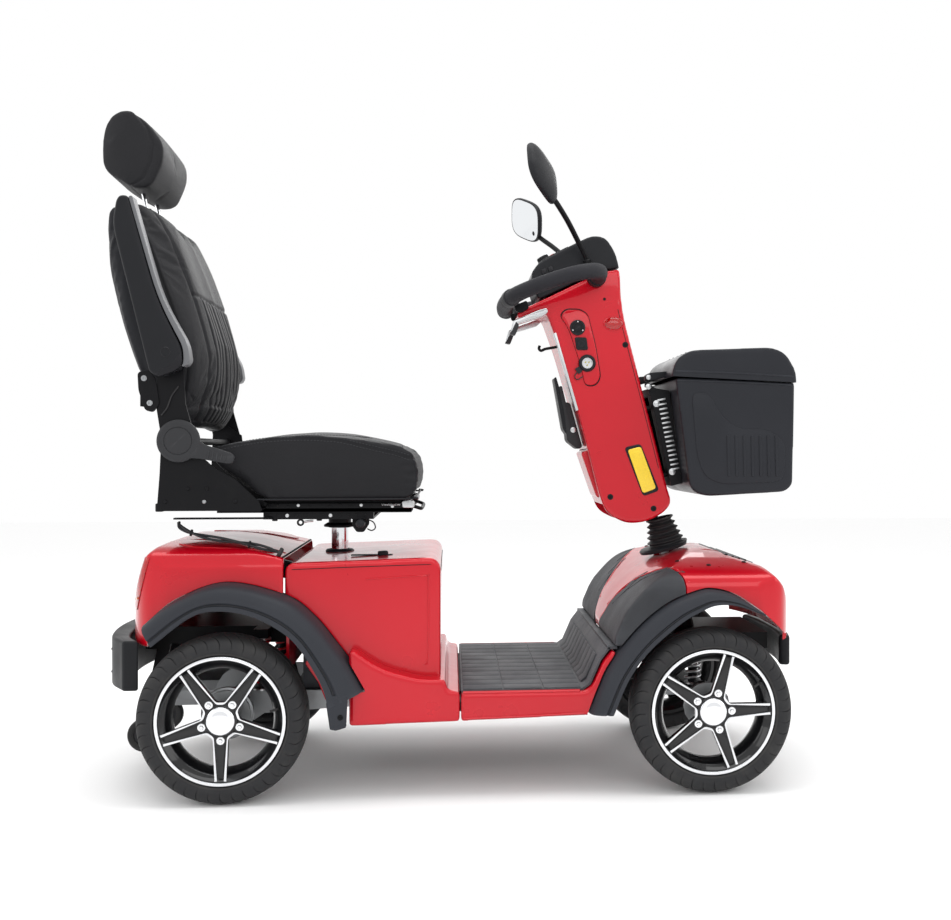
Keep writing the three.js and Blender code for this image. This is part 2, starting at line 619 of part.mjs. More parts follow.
// ---- tiller -------------------------------------------------------------------------------------
const TILLER_OUTLINE = [[640, 1061], [700, 1081], [712, 1070], [742, 988], [796, 800], [837, 640],
  [854, 600], [904, 574],
  [957, 582], [994, 604], [1011, 626], [1001, 656], [924, 954], [890, 1085], [885, 1182], [842, 1176],
    [642, 1079]];

// The studs that carry the box bracket, from the column's cross rods out through the shell.
function bracketStuds(radius) {
  const studs = [];
  both((word, side) => {
    studs.push(rod([924, side * 60, 843], [962, side * 60, 853], radius, 8));
    studs.push(rod([961, side * 60, 683], [1006, side * 60, 694], radius, 8));
  });
  return studs;
}

function tillerShell() {
  const outer = sidePlate(TILLER_OUTLINE, -TILLER_HALF, TILLER_HALF, { bevel: 8 });
  const inner = sidePlate([[720, 1084], [750, 994], [802, 806], [842, 650], [866, 400], [1060, 400],
    [1001, 632],
    [918, 950], [884, 1084], [879, 1250], [838, 1250]], -TILLER_HALF + 7, TILLER_HALF - 7);
  const pocket = sidePlate([[794, 748], [826, 752], [856, 640], [834, 634]], -56, 56, { bevel: 5 });
  return cut(join(outer, pocket), inner, ...bracketStuds(6.6));
}

const DASH = [[676, 1150], [674, 1170], [692, 1196], [775, 1241], [820, 1262], [852, 1258], [876, 1222],
  [885, 1184],
  [842, 1178], [690, 1106]];

// The handlebar loops round the dash pod: out of the tiller's right side, back, across and in on the left.
const GRIP_RADIUS = 20;
const HANDLEBAR = [[828, -87.5, 1157], [829, -120, 1160], [824, -165, 1161], [800, -214, 1155],
  [760, -238, 1145],
  [716, -232, 1133], [674, -204, 1121], [640, -160, 1111], [622, -108, 1105], [617, -50, 1103]];

function handlebar() {
  const mirrored = HANDLEBAR.map(([x, y, z]) => [x, -y, z]).reverse();
  return tube([...HANDLEBAR, [616, 0, 1103], ...mirrored], GRIP_RADIUS, 8, 26);
}

function driveLever(side) {
  const plate = mirroredPlate([[706, 1086], [712, 1074], [700, 1064], [640, 1046], [632, 1024],
    [622, 1026], [628, 1054],
    [690, 1080]], [94, 118], side);
  return plate;
}

function mirror(side) {
  const stem = tube([[806, side * 97, 1184], [802, side * 100, 1206], [780, side * 122, 1240],
    [752, side * 165, 1276],
    [724, side * 205, 1306], [712, side * 214, 1318]], 6.5, 6, 8);
  const head = new THREE.SphereGeometry(1, 12, 8);
  head.scale(19, 72, 54);
  head.rotateX(side * THREE.MathUtils.degToRad(28));
  head.rotateZ(side * THREE.MathUtils.degToRad(24));
  head.rotateY(THREE.MathUtils.degToRad(-14));
  head.translate(690, side * 246, 1366);
  return join(stem, head);
}

function frontBox() {
  const outer = sidePlate([[1003, 920], [1036, 668], [1050, 652], [1078, 644], [1262, 654], [1280, 670],
    [1285, 909]],
    -BOX_HALF, BOX_HALF, { bevel: 12 });
  const inner = sidePlate([[1001, 960], [1006, 917], [1040, 672], [1080, 647.5], [1260, 657.5],
    [1277, 674], [1282, 906],
    [1283, 960]], -BOX_HALF + BOX_WALL, BOX_HALF - BOX_WALL);
  const mouth = sidePlate([[990, 980], [990, 921], [1300, 907], [1300, 980]], -200, 200);
  return cut(outer, inner, mouth);
}

function boxLid() {
  const outline = [[994, 929], [1004, 962], [1036, 983], [1230, 991], [1263, 977], [1286, 938], [1289, 912]];
  const outer = sidePlate(outline, -BOX_HALF - 4, BOX_HALF + 4, { bevel: 12 });
  const inner = sidePlate([[998, 900], [998, 931], [1008, 960], [1037, 979], [1229, 987], [1260, 974],
    [1282, 937],
    [1285, 900]], -BOX_HALF, BOX_HALF);
  const seam = sidePlate([[900, 800], [900, 925.6], [990, 921.6], [1300, 907.6], [1400, 903],
    [1400, 800]], -300, 300);
  const shell = cut(outer, inner, seam);
  const lugs = [-1, 1].map((side) =>
    mirroredPlate([[946, 916], [946, 930], [958, 936], [998, 940], [998, 928], [960, 916]],
    [64, 84], side));
  return join(shell, ...lugs);
}

// The steel inside the tiller and the box bracket welded to it.
function tillerFrame() {
  const pieces = [
    rod([988, 0, 560], [858, 0, 1120], 11, 10),
    sidePlate([[986, 533], [1006, 533], [1000, 574], [978, 572]], -11, 11),
    rod([924, -66, 843], [924, 66, 843], 8, 8),
    rod([961, -66, 683], [961, 66, 683], 8, 8),
    ...bracketStuds(6),
    sidePlate([[952, 897], [968, 899], [1003, 893], [1005.4, 876], [957, 880]], -90, 90),
    sidePlate([[1008, 666], [1034.6, 672], [1031.6, 694], [1003, 690]], -90, 90),
  ];
  both((word, side) => {
    pieces.push(mirroredPlate([[959, 888], [1003, 888], [1033, 674], [1010, 674]], [76, 90], side));
    pieces.push(mirroredPlate([[957, 884], [968, 884], [1016, 684], [1004, 684]], [50, 90], side));
    pieces.push(mirroredPlate([[944, 912], [950, 914], [972, 896], [962, 890], [944, 902]], [86, 92], side));
  });
  return join(...pieces);
}

add('tiller_shell', tillerShell(), redPaint());
add('tiller_frame', tillerFrame(), blackSteel());
add('dash_pod', sidePlate(DASH.map(([x, z]) => [x, z + 1.2]), -80, 80, { bevel: 8 }), blackPlastic());
add('handlebar', handlebar(), blackPlastic());
both((word, side) => {
  add(`drive_lever_${word}`, driveLever(side), brushedSteel());
  add(`mirror_${word}`, mirror(side), blackPlastic());
});
const DIAL_NORMAL = [-0.476, 0, 0.879];
const onDash = ([x, y, z], lift) => [x + DIAL_NORMAL[0] * lift, y, z + DIAL_NORMAL[2] * lift];
const DIAL_PLACE = [714, 0, 1209.5];
const KEY_PLACE = [728, 42, 1217];
add('speed_dial', join(rod(onDash(DIAL_PLACE, 1), onDash(DIAL_PLACE, 11), 17, 18),
  rod(onDash(DIAL_PLACE, 9), onDash(DIAL_PLACE, 16), 12, 14)), blackPlastic());
add('ignition_key', join(rod(onDash(KEY_PLACE, 1), onDash(KEY_PLACE, 5), 9, 14),
  rod(onDash(KEY_PLACE, 4), onDash(KEY_PLACE, 24), 3.4, 10)), chrome());
add('phone_holder', join(
  sidePlate([[752, 868], [773, 866], [803, 757], [790, 752], [764, 772]], -34, 34, { bevel: 4 }),
  sidePlate([[732, 926], [738, 930], [764, 846], [782, 780], [774, 774], [754, 800]], -30, 30),
), greyPlastic());
add('front_box', frontBox(), blackPlastic());
add('box_lid', boxLid(), blackPlastic());

// ---- seat ---------------------------------------------------------------------------------------
function swivelPlate() {
  const pieces = [
    block([70, 312], [-200, 200], [597.5, 602.5]),
    rod([SEAT_POST_X, 0, 566], [SEAT_POST_X, 0, 600], SEAT_POST_RADIUS + 7, 20),
    block([-122, 90], [-212, -194], [599, 602.5]),
  ];
  both((word, side) => {
    pieces.push(sideBlock([70, 312], [178, 200], [600, 612], side));
  });
  return cut(join(...pieces),
    rod([SEAT_POST_X, 0, 550], [SEAT_POST_X, 0, 583 + GAP], SEAT_POST_RADIUS + GAP, 20));
}

const SIDE_PLATE = [[-146, 622], [76, 622], [70, 640], [20, 688], [-24, 712], [-56, 742], [-62, 790],
  [-98, 814],
  [-136, 790], [-140, 700]];

function seatFrame() {
  const pieces = [block([-30, 396], [-204, 204], [617, 622]), block([-146, 76], [-256, 256], [620, 625])];
  both((word, side) => {
    pieces.push(mirroredPlate(SIDE_PLATE, [251.5, 256], side));
    pieces.push(sideBlock([-30, 396], [150, 204], [612.5, 620], side));
    pieces.push(sideBlock([60, 396], [170, 190], [617, 638], side));
  });
  return cut(join(...pieces),
    rod([RECLINE_PIVOT[0], -300, RECLINE_PIVOT[1]], [RECLINE_PIVOT[0], 300, RECLINE_PIVOT[1]],
    TUBE_RADIUS + 0.5, 16));
}

const CUSHION = [[-44, 752], [-20, 764], [30, 774], [93, 784], [178, 792], [265, 779], [373, 752],
  [401, 738], [416, 690],
  [408, 650], [380, 640], [76, 639], [22, 690], [-24, 716]];

function backFrame() {
  const pieces = [
    rod([RECLINE_PIVOT[0], -262, RECLINE_PIVOT[1]], [RECLINE_PIVOT[0], 262, RECLINE_PIVOT[1]],
      TUBE_RADIUS, 12),
    block([-180, -172], [-258, 258], [845, 870]),
  ];
  both((word, side) => {
    pieces.push(mirroredPlate([[-134, 771], [-122, 745], [-98, 736], [-74, 745], [-62, 771], [-84, 850],
      [-90, 950],
      [-112, 975], [-136, 962], [-148, 860]], [257, 262], side));
    pieces.push(rod([ARM_PIVOT[0], side * 260, ARM_PIVOT[1]], [ARM_PIVOT[0], side * 300, ARM_PIVOT[1]],
      7, 12));
    pieces.push(sideBlock([-172, -128], [250, 258], [845, 870], side));
  });
  return join(...pieces);
}

const BACK_REAR = [[-168, 1300], [-268, 1292], [-258, 1184], [-241, 1098], [-226, 1033], [-209, 979],
  [-176, 884],
  [-146, 884], [-136, 800], [-122, 792]];
const BACK_FRONT = [[-86, 792], [-60, 826], [-36, 880], [-30, 943], [-48, 1010], [-68, 1072],
  [-110, 1190], [-150, 1275]];
const BACK_LEAN = THREE.MathUtils.degToRad(12);
const headrestPost = (side, radius, low, high) => rod(
  [-218 - (low - 1300) * Math.tan(BACK_LEAN), side * 58, low],
  [-218 - (high - 1300) * Math.tan(BACK_LEAN), side * 58, high], radius, 12);

function backrest() {
  const pad = sidePlate([...BACK_REAR, ...BACK_FRONT], -CUSHION_HALF, CUSHION_HALF, { bevel: 14 });
  return cut(pad, headrestPost(-1, 6, 1150, 1330), headrestPost(1, 6, 1150, 1330));
}

function headrest() {
  const pad = sidePlate([[-286, 1363], [-321, 1387], [-326, 1439], [-316, 1510], [-286, 1544],
    [-240, 1551], [-194, 1513],
    [-152, 1454], [-152, 1414], [-182, 1342], [-229, 1330]], -128, 128, { bevel: 16 });
  return join(pad, headrestPost(-1, 5, 1160, 1350), headrestPost(1, 5, 1160, 1350));
}

function armrest(side) {
  const outline = [[-206, 1287], [-182, 1288], [-120, 1069], [-68, 974], [-63, 938], [-87, 917],
    [-129, 904], [-148, 914],
    [-224, 1225], [-216, 1276]];
  const body = mirroredPlate(outline, [274, 318], side, { bevel: 6 });
  return cut(body, rod([ARM_PIVOT[0], side * 250, ARM_PIVOT[1]],
    [ARM_PIVOT[0], side * 301, ARM_PIVOT[1]], 7.6, 14));
}

function reclineLever() {
  const y0 = 263;
  const y1 = 272;
  return join(
    rod([RECLINE_PIVOT[0], -y0, RECLINE_PIVOT[1]], [RECLINE_PIVOT[0], -y1, RECLINE_PIVOT[1]], 46, 28),
    sidePlate([[-60, 784], [-50, 763], [14, 744], [22, 737], [16, 722], [6, 721], [-56, 734],
      [-80, 732]], -y1, -y0),
  );
}

function swivelLever() {
  return join(
    rod([286, -150, 590], [286, -228, 590], 5, 12),
    rod([286, -222, 590], [286, -246, 590], 9, 14),
    block([278, 294], [-158, -146], [582, 596]),
  );
}

add('swivel_plate', swivelPlate(), blackSteel());
add('swivel_lever', swivelLever(), blackSteel());
add('seat_frame', seatFrame(), blackSteel());
add('seat_cushion', sidePlate(CUSHION, -CUSHION_HALF, CUSHION_HALF, { bevel: 12 }), vinyl());
add('back_frame', backFrame(), blackSteel());
add('backrest', backrest(), vinyl());
add('headrest', headrest(), vinyl());
add('recline_lever', reclineLever(), greyPlastic());
both((word, side) => add(`armrest_${word}`, armrest(side), blackPlastic()));

// ---- anti-tip wheels ----------------------------------------------------------------------------
both((word, side) => {
  const roller = add(`anti_tip_wheel_${word}`,
    turned([[5.6, -12], [5.6, 12], [34, 12], [38, 8], [38, -8], [34, -12]], 20),
    blackPlastic());
  roller.position.set(-213, side * 98, 101);
});

// Origin: under the middle of the bounding box, on the floor.
const bounds = new THREE.Box3().setFromObject(scooter, true);
scooter.position.set(-(bounds.min.x + bounds.max.x) / 2, -(bounds.min.y + bounds.max.y) / 2, -bounds.min.z);

export default scooter;
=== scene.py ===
"""Looks of the four-wheel mobility scooter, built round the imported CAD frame.

Points are written in design millimetres, measured from the rear axle and the floor, and `at` turns
them into the frame.
"""
import math

import bpy
import bmesh
import numpy as np
from mathutils import Matrix, Vector
from mathutils.bvhtree import BVHTree


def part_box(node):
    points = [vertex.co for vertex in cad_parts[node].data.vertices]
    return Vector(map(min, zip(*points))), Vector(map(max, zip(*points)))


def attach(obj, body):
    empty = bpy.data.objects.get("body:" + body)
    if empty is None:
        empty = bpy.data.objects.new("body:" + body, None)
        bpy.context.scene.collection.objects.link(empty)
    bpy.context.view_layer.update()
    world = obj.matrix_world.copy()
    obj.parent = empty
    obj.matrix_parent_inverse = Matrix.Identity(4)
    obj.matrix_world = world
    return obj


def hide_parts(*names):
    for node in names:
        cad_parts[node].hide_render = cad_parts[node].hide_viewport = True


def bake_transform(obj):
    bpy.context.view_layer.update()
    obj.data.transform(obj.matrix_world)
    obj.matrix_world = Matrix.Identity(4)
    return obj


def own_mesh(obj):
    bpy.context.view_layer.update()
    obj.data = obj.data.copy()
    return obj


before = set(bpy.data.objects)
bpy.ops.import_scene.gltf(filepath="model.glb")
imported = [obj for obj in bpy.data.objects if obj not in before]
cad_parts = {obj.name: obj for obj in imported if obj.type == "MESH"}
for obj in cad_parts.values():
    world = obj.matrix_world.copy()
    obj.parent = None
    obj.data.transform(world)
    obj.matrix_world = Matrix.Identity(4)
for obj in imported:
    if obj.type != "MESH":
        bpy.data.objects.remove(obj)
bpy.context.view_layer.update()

MM = 0.001
LOW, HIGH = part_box("rear_tyre_right")
AXLE_X = (LOW.x + HIGH.x) / 2
SIDES = (("right", -1), ("left", 1))
WHEELBASE = 1055
WHEEL_Y = 276
AXLE_Z = 180


def at(x, y, z):
    return Vector((AXLE_X + x * MM, y * MM, z * MM))


# ---- camera --------------------------------------------------------------------------------------
camera_data = bpy.data.cameras.new("camera")
camera_data.sensor_width = 36
camera_data.lens = 41.26
camera_data.shift_x = -0.0636
camera_data.shift_y = -0.0105
camera_data.clip_end = 50
camera = bpy.data.objects.new("camera", camera_data)
camera.location = at(482.6, -2654, 751.5)
camera.rotation_euler = (math.radians(90), 0, math.radians(-4.5))
bpy.context.scene.collection.objects.link(camera)
bpy.context.scene.camera = camera


# ---- mesh helpers --------------------------------------------------------------------------------
def link(obj):
    bpy.context.scene.collection.objects.link(obj)
    return obj


def make(name, verts, faces):
    """A mesh object whose faces all point outwards."""
    mesh = bpy.data.meshes.new(name)
    mesh.from_pydata([tuple(v) for v in verts], [], faces)
    shape = bmesh.new()
    shape.from_mesh(mesh)
    bmesh.ops.remove_doubles(shape, verts=shape.verts, dist=1e-6)
    bmesh.ops.recalc_face_normals(shape, faces=shape.faces)
    shape.to_mesh(mesh)
    shape.free()
    return link(bpy.data.objects.new(name, mesh))


def discard(obj):
    mesh = obj.data
    bpy.data.objects.remove(obj)
    bpy.data.meshes.remove(mesh)


def settle(obj):
    """Applies every modifier."""
    graph = bpy.context.evaluated_depsgraph_get()
    mesh = bpy.data.meshes.new_from_object(obj.evaluated_get(graph))
    obj.modifiers.clear()
    old = obj.data
    obj.data = mesh
    bpy.data.meshes.remove(old)
    return obj


def modify(obj, kind, **values):
    modifier = obj.modifiers.new(kind.lower(), kind)
    for key, value in values.items():
        setattr(modifier, key, value)
    return settle(obj)


def bevel(obj, width, segments=3, angle=30):
    return modify(obj, "BEVEL", width=width * MM, segments=segments, limit_method="ANGLE",
                  angle_limit=math.radians(angle))


def combine(operation, target, *tools, keep=False):
    for tool in tools:
        modify(target, "BOOLEAN", operation=operation, solver="MANIFOLD", object=tool)
        if not keep:
            discard(tool)
    return target


def cut(target, *tools, keep=False):
    return combine("DIFFERENCE", target, *tools, keep=keep)


def meet(target, *tools, keep=False):
    return combine("INTERSECT", target, *tools, keep=keep)


def unite(target, *tools):
    return combine("UNION", target, *tools)


def copy_of(obj, name="copy"):
    twin = bpy.data.objects.new(name, obj.data.copy())
    return link(twin)


def soften(obj, voxel, rounds, factor=0.5):
    """Rounds every edge, as a moulding or a filled cover is rounded."""
    modify(obj, "REMESH", mode="VOXEL", voxel_size=voxel * MM)
    return modify(obj, "SMOOTH", factor=factor, iterations=rounds)


def join(name, pieces):
    """One object from several, keeping their materials."""
    verts, faces, materials, index = [], [], [], []
    for piece in pieces:
        start = len(verts)
        verts += [piece.matrix_world @ v.co for v in piece.data.vertices]
        places = []
        for material in list(piece.data.materials) or [None]:
            if material not in materials:
                materials.append(material)
            places.append(materials.index(material))
        for face in piece.data.polygons:
            faces.append([start + v for v in face.vertices])
            index.append(places[min(face.material_index, len(places) - 1)])
    mesh = bpy.data.meshes.new(name)
    mesh.from_pydata([tuple(v) for v in verts], [], faces)
    for material in materials:
        if material is not None:
            mesh.materials.append(material)
    mesh.polygons.foreach_set("material_index", index)
    for piece in pieces:
        discard(piece)
    return link(bpy.data.objects.new(name, mesh))


# ---- outlines ------------------------------------------------------------------------------------
def through(points, steps=8):
    """A smooth line through the points."""
    knots = [Vector(p) for p in points]
    knots = [2 * knots[0] - knots[1], *knots, 2 * knots[-1] - knots[-2]]
    line = []
    for a, b, c, d in zip(knots, knots[1:], knots[2:], knots[3:]):
        for k in range(steps):
            t = k / steps
            line.append(0.5 * (2 * b + (c - a) * t + (2 * a - 5 * b + 4 * c - d) * t * t
                               + (3 * b - a - 3 * c + d) * t ** 3))
    return [tuple(p) for p in line] + [tuple(knots[-2])]


def rounded(points, radius, steps=5):
    """A closed outline with its corners rounded; a third number in a point is that corner's own radius."""
    line = []
    for i, point in enumerate(points):
        here = Vector(point[:2])
        back, on = Vector(points[i - 1][:2]) - here, Vector(points[(i + 1) % len(points)][:2]) - here
        reach = min(point[2] if len(point) > 2 else radius, back.length * 0.48, on.length * 0.48)
        if reach < 0.05:
            line.append(tuple(here))
            continue
        start, end = here + back.normalized() * reach, here + on.normalized() * reach
        for k in range(steps + 1):
            t = k / steps
            line.append(tuple((1 - t) ** 2 * start + 2 * t * (1 - t) * here + t * t * end))
    return line


PLANES = {
    "side": lambda u, v, w: at(u, w, v),
    "plan": lambda u, v, w: at(u, v, w),
    "front": lambda u, v, w: at(w, u, v),
}


def prism(outline, low, high, plane="side", name="prism"):
    place, count = PLANES[plane], len(outline)
    verts = [place(*p, low) for p in outline] + [place(*p, high) for p in outline]
    sides = [(i, (i + 1) % count, (i + 1) % count + count, i + count) for i in range(count)]
    return make(name, verts, [tuple(range(count)), tuple(range(2 * count - 1, count - 1, -1)), *sides])


def plate(outline, ys, side=-1, edge=1.0, corner=0.0, segments=3, plane="side"):
    """A flat piece with bevelled edges; in the side plane its thickness is measured out from the middle."""
    low, high = sorted((side * ys[0], side * ys[1])) if plane == "side" else ys
    shape = prism(rounded(outline, corner) if corner else outline, low, high, plane)
    return bevel(shape, edge, segments) if edge else shape


def block(xs, ys, zs, edge=1.0, segments=3):
    """A box with rounded edges."""
    shape = prism([(xs[0], zs[0]), (xs[1], zs[0]), (xs[1], zs[1]), (xs[0], zs[1])], min(ys), max(ys))
    return bevel(shape, edge, segments) if edge else shape


def loft(rings, closed=True, caps=True, name="loft"):
    """A skin over rings of points that all have the same count."""
    count = len(rings[0])
    verts = [p for ring in rings for p in ring]
    faces = []
    for r in range(len(rings) - 1):
        for i in range(count if closed else count - 1):
            j = (i + 1) % count
            faces.append((r * count + i, r * count + j, (r + 1) * count + j, (r + 1) * count + i))
    if caps:
        faces.append(tuple(range(count - 1, -1, -1)))
        faces.append(tuple((len(rings) - 1) * count + i for i in range(count)))
    return make(name, verts, faces)


def frame_of(direction):
    """A rotation whose Z axis is the direction."""
    return Vector(direction).to_track_quat("Z", "Y").to_matrix()


def lathe(profile, centre, axis=(0, 1, 0), steps=64, closed=False, name="lathe"):
    """A profile of (radius, distance along the axis) turned about the axis through centre, in millimetres."""
    turn, middle = frame_of(axis), at(*centre)
    rings = []
    for r, along in profile:
        ring = []
        for k in range(steps):
            angle = 2 * math.pi * k / steps
            ring.append(middle + turn @ Vector((r * math.cos(angle), r * math.sin(angle), along)) * MM)
        rings.append(ring)
    if closed:
        return loft([*rings, rings[0]], caps=False, name=name)
    return loft(rings, name=name)


def tube(points, radius, sides=12, steps=6, name="tube", caps=True):
    """A round bar along a smooth line; radius is one number, or a function of the way along it."""
    line = [at(*p) for p in (through(points, steps) if steps > 1 else points)]
    tangents = [(b - a).normalized() for a, b in zip(line, line[1:])]
    tangents = [tangents[0], *[(a + b).normalized() for a, b in zip(tangents, tangents[1:])], tangents[-1]]
    across = tangents[0].orthogonal().normalized()
    rings = []
    for i, (point, along) in enumerate(zip(line, tangents)):
        across = (across - along * across.dot(along)).normalized()
        up = along.cross(across)
        size = (radius(i / (len(line) - 1)) if callable(radius) else radius) * MM
        rings.append([point + (across * math.cos(a) + up * math.sin(a)) * size
                      for a in (2 * math.pi * k / sides for k in range(sides))])
    return loft(rings, caps=caps, name=name)


def disc(centre, axis, radius, height, edge=1.0, steps=32, base=0.0):
    """A short round boss that stands on centre along the axis, with a rounded rim."""
    return lathe([(0.01, base), (radius, base), (radius, height - edge),
                  (radius - edge * 0.3, height - edge * 0.3),
                  (radius - edge, height), (0.01, height)], centre, axis, steps)


def bolt(centre, axis, radius=5.0, height=4.0, kind="hex"):
    """A screw head: a hexagon on a washer, a socket cap or a domed cross-head."""
    if kind == "dome":
        head = lathe([(0.01, 0), (radius, 0), (radius * 0.96, height * 0.4), (radius * 0.7, height * 0.85),
                      (radius * 0.3, height), (0.01, height)], centre, axis, 20)
        return head
    sides = 6 if kind == "hex" else 20
    washer = disc(centre, axis, radius * 1.35, 1.2, 0.4, 20)
    head = disc(centre, axis, radius, height, 0.8, sides, 0.6)
    if kind == "hex":
        return join("bolt", [washer, head])
    socket = lathe([(0.01, height * 0.35), (radius * 0.55, height * 0.35), (radius * 0.55, height + 1),
                    (0.01, height + 1)], centre, axis, 6)
    return join("bolt", [washer, cut(head, socket)])


# ---- materials -----------------------------------------------------------------------------------
class Finish:
    """A Principled material. `add` makes a node and links its inputs: numbers, colours or sockets."""

    def __init__(self, name, colour, roughness, metallic=0.0, **sockets):
        self.material = bpy.data.materials.new(name)
        self.material.use_nodes = True
        self.tree = self.material.node_tree
        self.shader = self.tree.nodes["Principled BSDF"]
        self.colour = (*colour, 1.0)
        self.set("Base Color", self.colour)
        self.set("Roughness", roughness)
        self.set("Metallic", metallic)
        for key, value in sockets.items():
            self.set(key.replace("_", " "), value)
        self.place = self.add("TexCoord", out="Object")

    def set(self, socket, value):
        if hasattr(value, "is_linked"):
            self.tree.links.new(value, self.shader.inputs[socket])
        else:
            self.shader.inputs[socket].default_value = value

    def add(self, kind, out=0, settings=(), **inputs):
        node = self.tree.nodes.new("ShaderNode" + kind)
        for key, value in dict(settings).items():
            setattr(node, key, value)
        for key, value in inputs.items():
            socket = node.inputs[int(key[1:]) if key[1:].isdigit() else key.replace("_", " ")]
            if hasattr(value, "is_linked"):
                self.tree.links.new(value, socket)
            else:
                socket.default_value = value
        return node.outputs[out]

    def scaled(self, scale):
        return self.add("Mapping", Vector=self.place, Scale=scale)

    def noise(self, scale, detail=3.0, place=None, distortion=0.0):
        return self.add("TexNoise", out=0, Vector=place or self.place, Scale=scale, Detail=detail,
                        Distortion=distortion)

    def cells(self, scale, feature="DISTANCE_TO_EDGE", place=None):
        return self.add("TexVoronoi", out=0, settings={"feature": feature}, Vector=place or self.place,
                        Scale=scale)

    def level(self, value, low, high, to_low=0.0, to_high=1.0):
        return self.add("MapRange", Value=value, i1=low, i2=high, i3=to_low, i4=to_high)

    def sum(self, a, b, kind="ADD"):
        return self.add("Math", settings={"operation": kind}, i0=a, i1=b)

    def tint(self, amount, other):
        """Mixes another colour in where the amount is high."""
        node = self.tree.nodes.new("ShaderNodeMix")
        node.data_type = "RGBA"
        self.tree.links.new(amount, node.inputs[0])
        previous = self.shader.inputs["Base Color"]
        if previous.is_linked:
            self.tree.links.new(previous.links[0].from_socket, node.inputs[6])
        else:
            node.inputs[6].default_value = self.colour
        node.inputs[7].default_value = (*other, 1.0)
        self.tree.links.new(node.outputs[2], previous)
        return self

    def bump(self, height, strength, distance=0.001):
        normal = self.shader.inputs["Normal"]
        inputs = {"Height": height, "Strength": strength, "Distance": distance}
        if normal.is_linked:
            inputs["Normal"] = normal.links[0].from_socket
        self.tree.links.new(self.add("Bump", **inputs), normal)
        return self

    def edges(self, colour, low=0.52, high=0.62, strength=0.5):
        """Rubbed or dusty edges."""
        worn = self.sum(self.level(self.add("NewGeometry", out="Pointiness"), low, high),
                        self.noise(60, 4), "MULTIPLY")
        return self.tint(self.sum(worn, strength, "MULTIPLY"), colour)

    def rough(self, low, high, scale=9, detail=4.0):
        """Handling marks: patches of a slightly different gloss."""
        self.set("Roughness", self.level(self.noise(scale, detail), 0.3, 0.7, low, high))
        return self


def paint(name, colour, dark):
    """Metallic lacquer: flakes under a clear coat with a trace of orange peel."""
    f = Finish(name, colour, 0.32, 0.2, Coat_Weight=0.65, Coat_Roughness=0.03, Specular_IOR_Level=0.18)
    flakes = f.cells(5200, "F1")
    f.tint(f.level(flakes, 0.0, 0.35, 0.22, 0.0), tuple(min(1.0, c * 1.2 + 0.006) for c in colour))
    f.tint(f.level(f.noise(3.2, 2), 0.35, 0.75, 0.0, 0.22), dark)
    f.edges(dark, 0.56, 0.7, 0.3)
    f.rough(0.26, 0.36, 14)
    return f.bump(f.noise(240, 2), 0.035, 0.0006).bump(f.cells(4200, "F1"), 0.04, 0.0002).material


def plastic(name, colour, roughness, grain=900, depth=0.16, light=(0.09, 0.095, 0.105)):
    """Moulded plastic with a spark-eroded grain."""
    f = Finish(name, colour, roughness, Specular_IOR_Level=0.17)
    f.tint(f.level(f.noise(5, 3), 0.3, 0.8, 0.0, 0.1), light)
    f.edges(light, 0.53, 0.64, 0.5)
    f.rough(roughness - 0.06, roughness + 0.08, 11)
    skin = f.sum(f.level(f.cells(grain), 0.0, 0.25), f.noise(grain * 0.6, 2), "ADD")
    return f.bump(skin, depth, 0.0004).material


def metal(name, colour, roughness, stretch=(1, 1, 1), depth=0.05, stain=(0.2, 0.19, 0.18), metallic=1.0):
    """Bare or plated metal, with fine marks drawn out along one way."""
    f = Finish(name, colour, roughness, metallic, Specular_IOR_Level=0.5 if metallic else 0.15)
    marks = f.noise(900, 3, f.scaled(stretch))
    f.set("Roughness", f.level(marks, 0.3, 0.7, max(roughness - 0.05, 0.02), roughness + 0.09))
    f.tint(f.level(f.noise(22, 5), 0.55, 0.85, 0.0, 0.35), stain)
    return f.bump(marks, depth, 0.0003).material


def leather(name, colour, roughness=0.46, scale=620, depth=0.42):
    """Grained vinyl over foam."""
    f = Finish(name, colour, roughness, Specular_IOR_Level=0.18, Sheen_Weight=0.01, Sheen_Roughness=0.45)
    warped = f.add("VectorMath", settings={"operation": "ADD"}, i0=f.place,
                   i1=f.add("VectorMath", settings={"operation": "SCALE"},
                            i0=f.add("TexNoise", out=1, Vector=f.place,
                                                                                     Scale=260.0),
                                                                                     Scale=0.0009))
    pebble = f.level(f.cells(scale, place=warped), 0.0, 0.22)
    # Painted shade: the grain's grooves are darkened where the bump sinks them.
    f.tint(f.level(pebble, 0.0, 0.6, 0.45, 0.0), tuple(c * 0.35 for c in colour))
    f.tint(f.level(f.noise(4.5, 4), 0.4, 0.8, 0.0, 0.2), tuple(c * 1.7 + 0.004 for c in colour))
    f.edges((0.035, 0.035, 0.038), 0.54, 0.66, 0.3)
    f.set("Roughness", f.level(pebble, 0.0, 1.0, roughness + 0.16, roughness))
    return f.bump(f.noise(70, 3), 0.18, 0.0016).bump(f.sum(pebble, f.noise(1500, 2), "ADD"), depth,
                                                     0.00035).material


def rubber(name, colour, roughness, grain=1400, dust=(0.085, 0.08, 0.072), amount=0.22, depth=0.2):
    f = Finish(name, colour, roughness, Specular_IOR_Level=0.25)
    f.tint(f.level(f.noise(16, 6), 0.5, 0.78, 0.0, amount), dust)
    f.edges(dust, 0.52, 0.62, 0.55)
    f.rough(roughness - 0.07, roughness + 0.08, 18)
    return f.bump(f.noise(grain, 4), depth, 0.0005).material


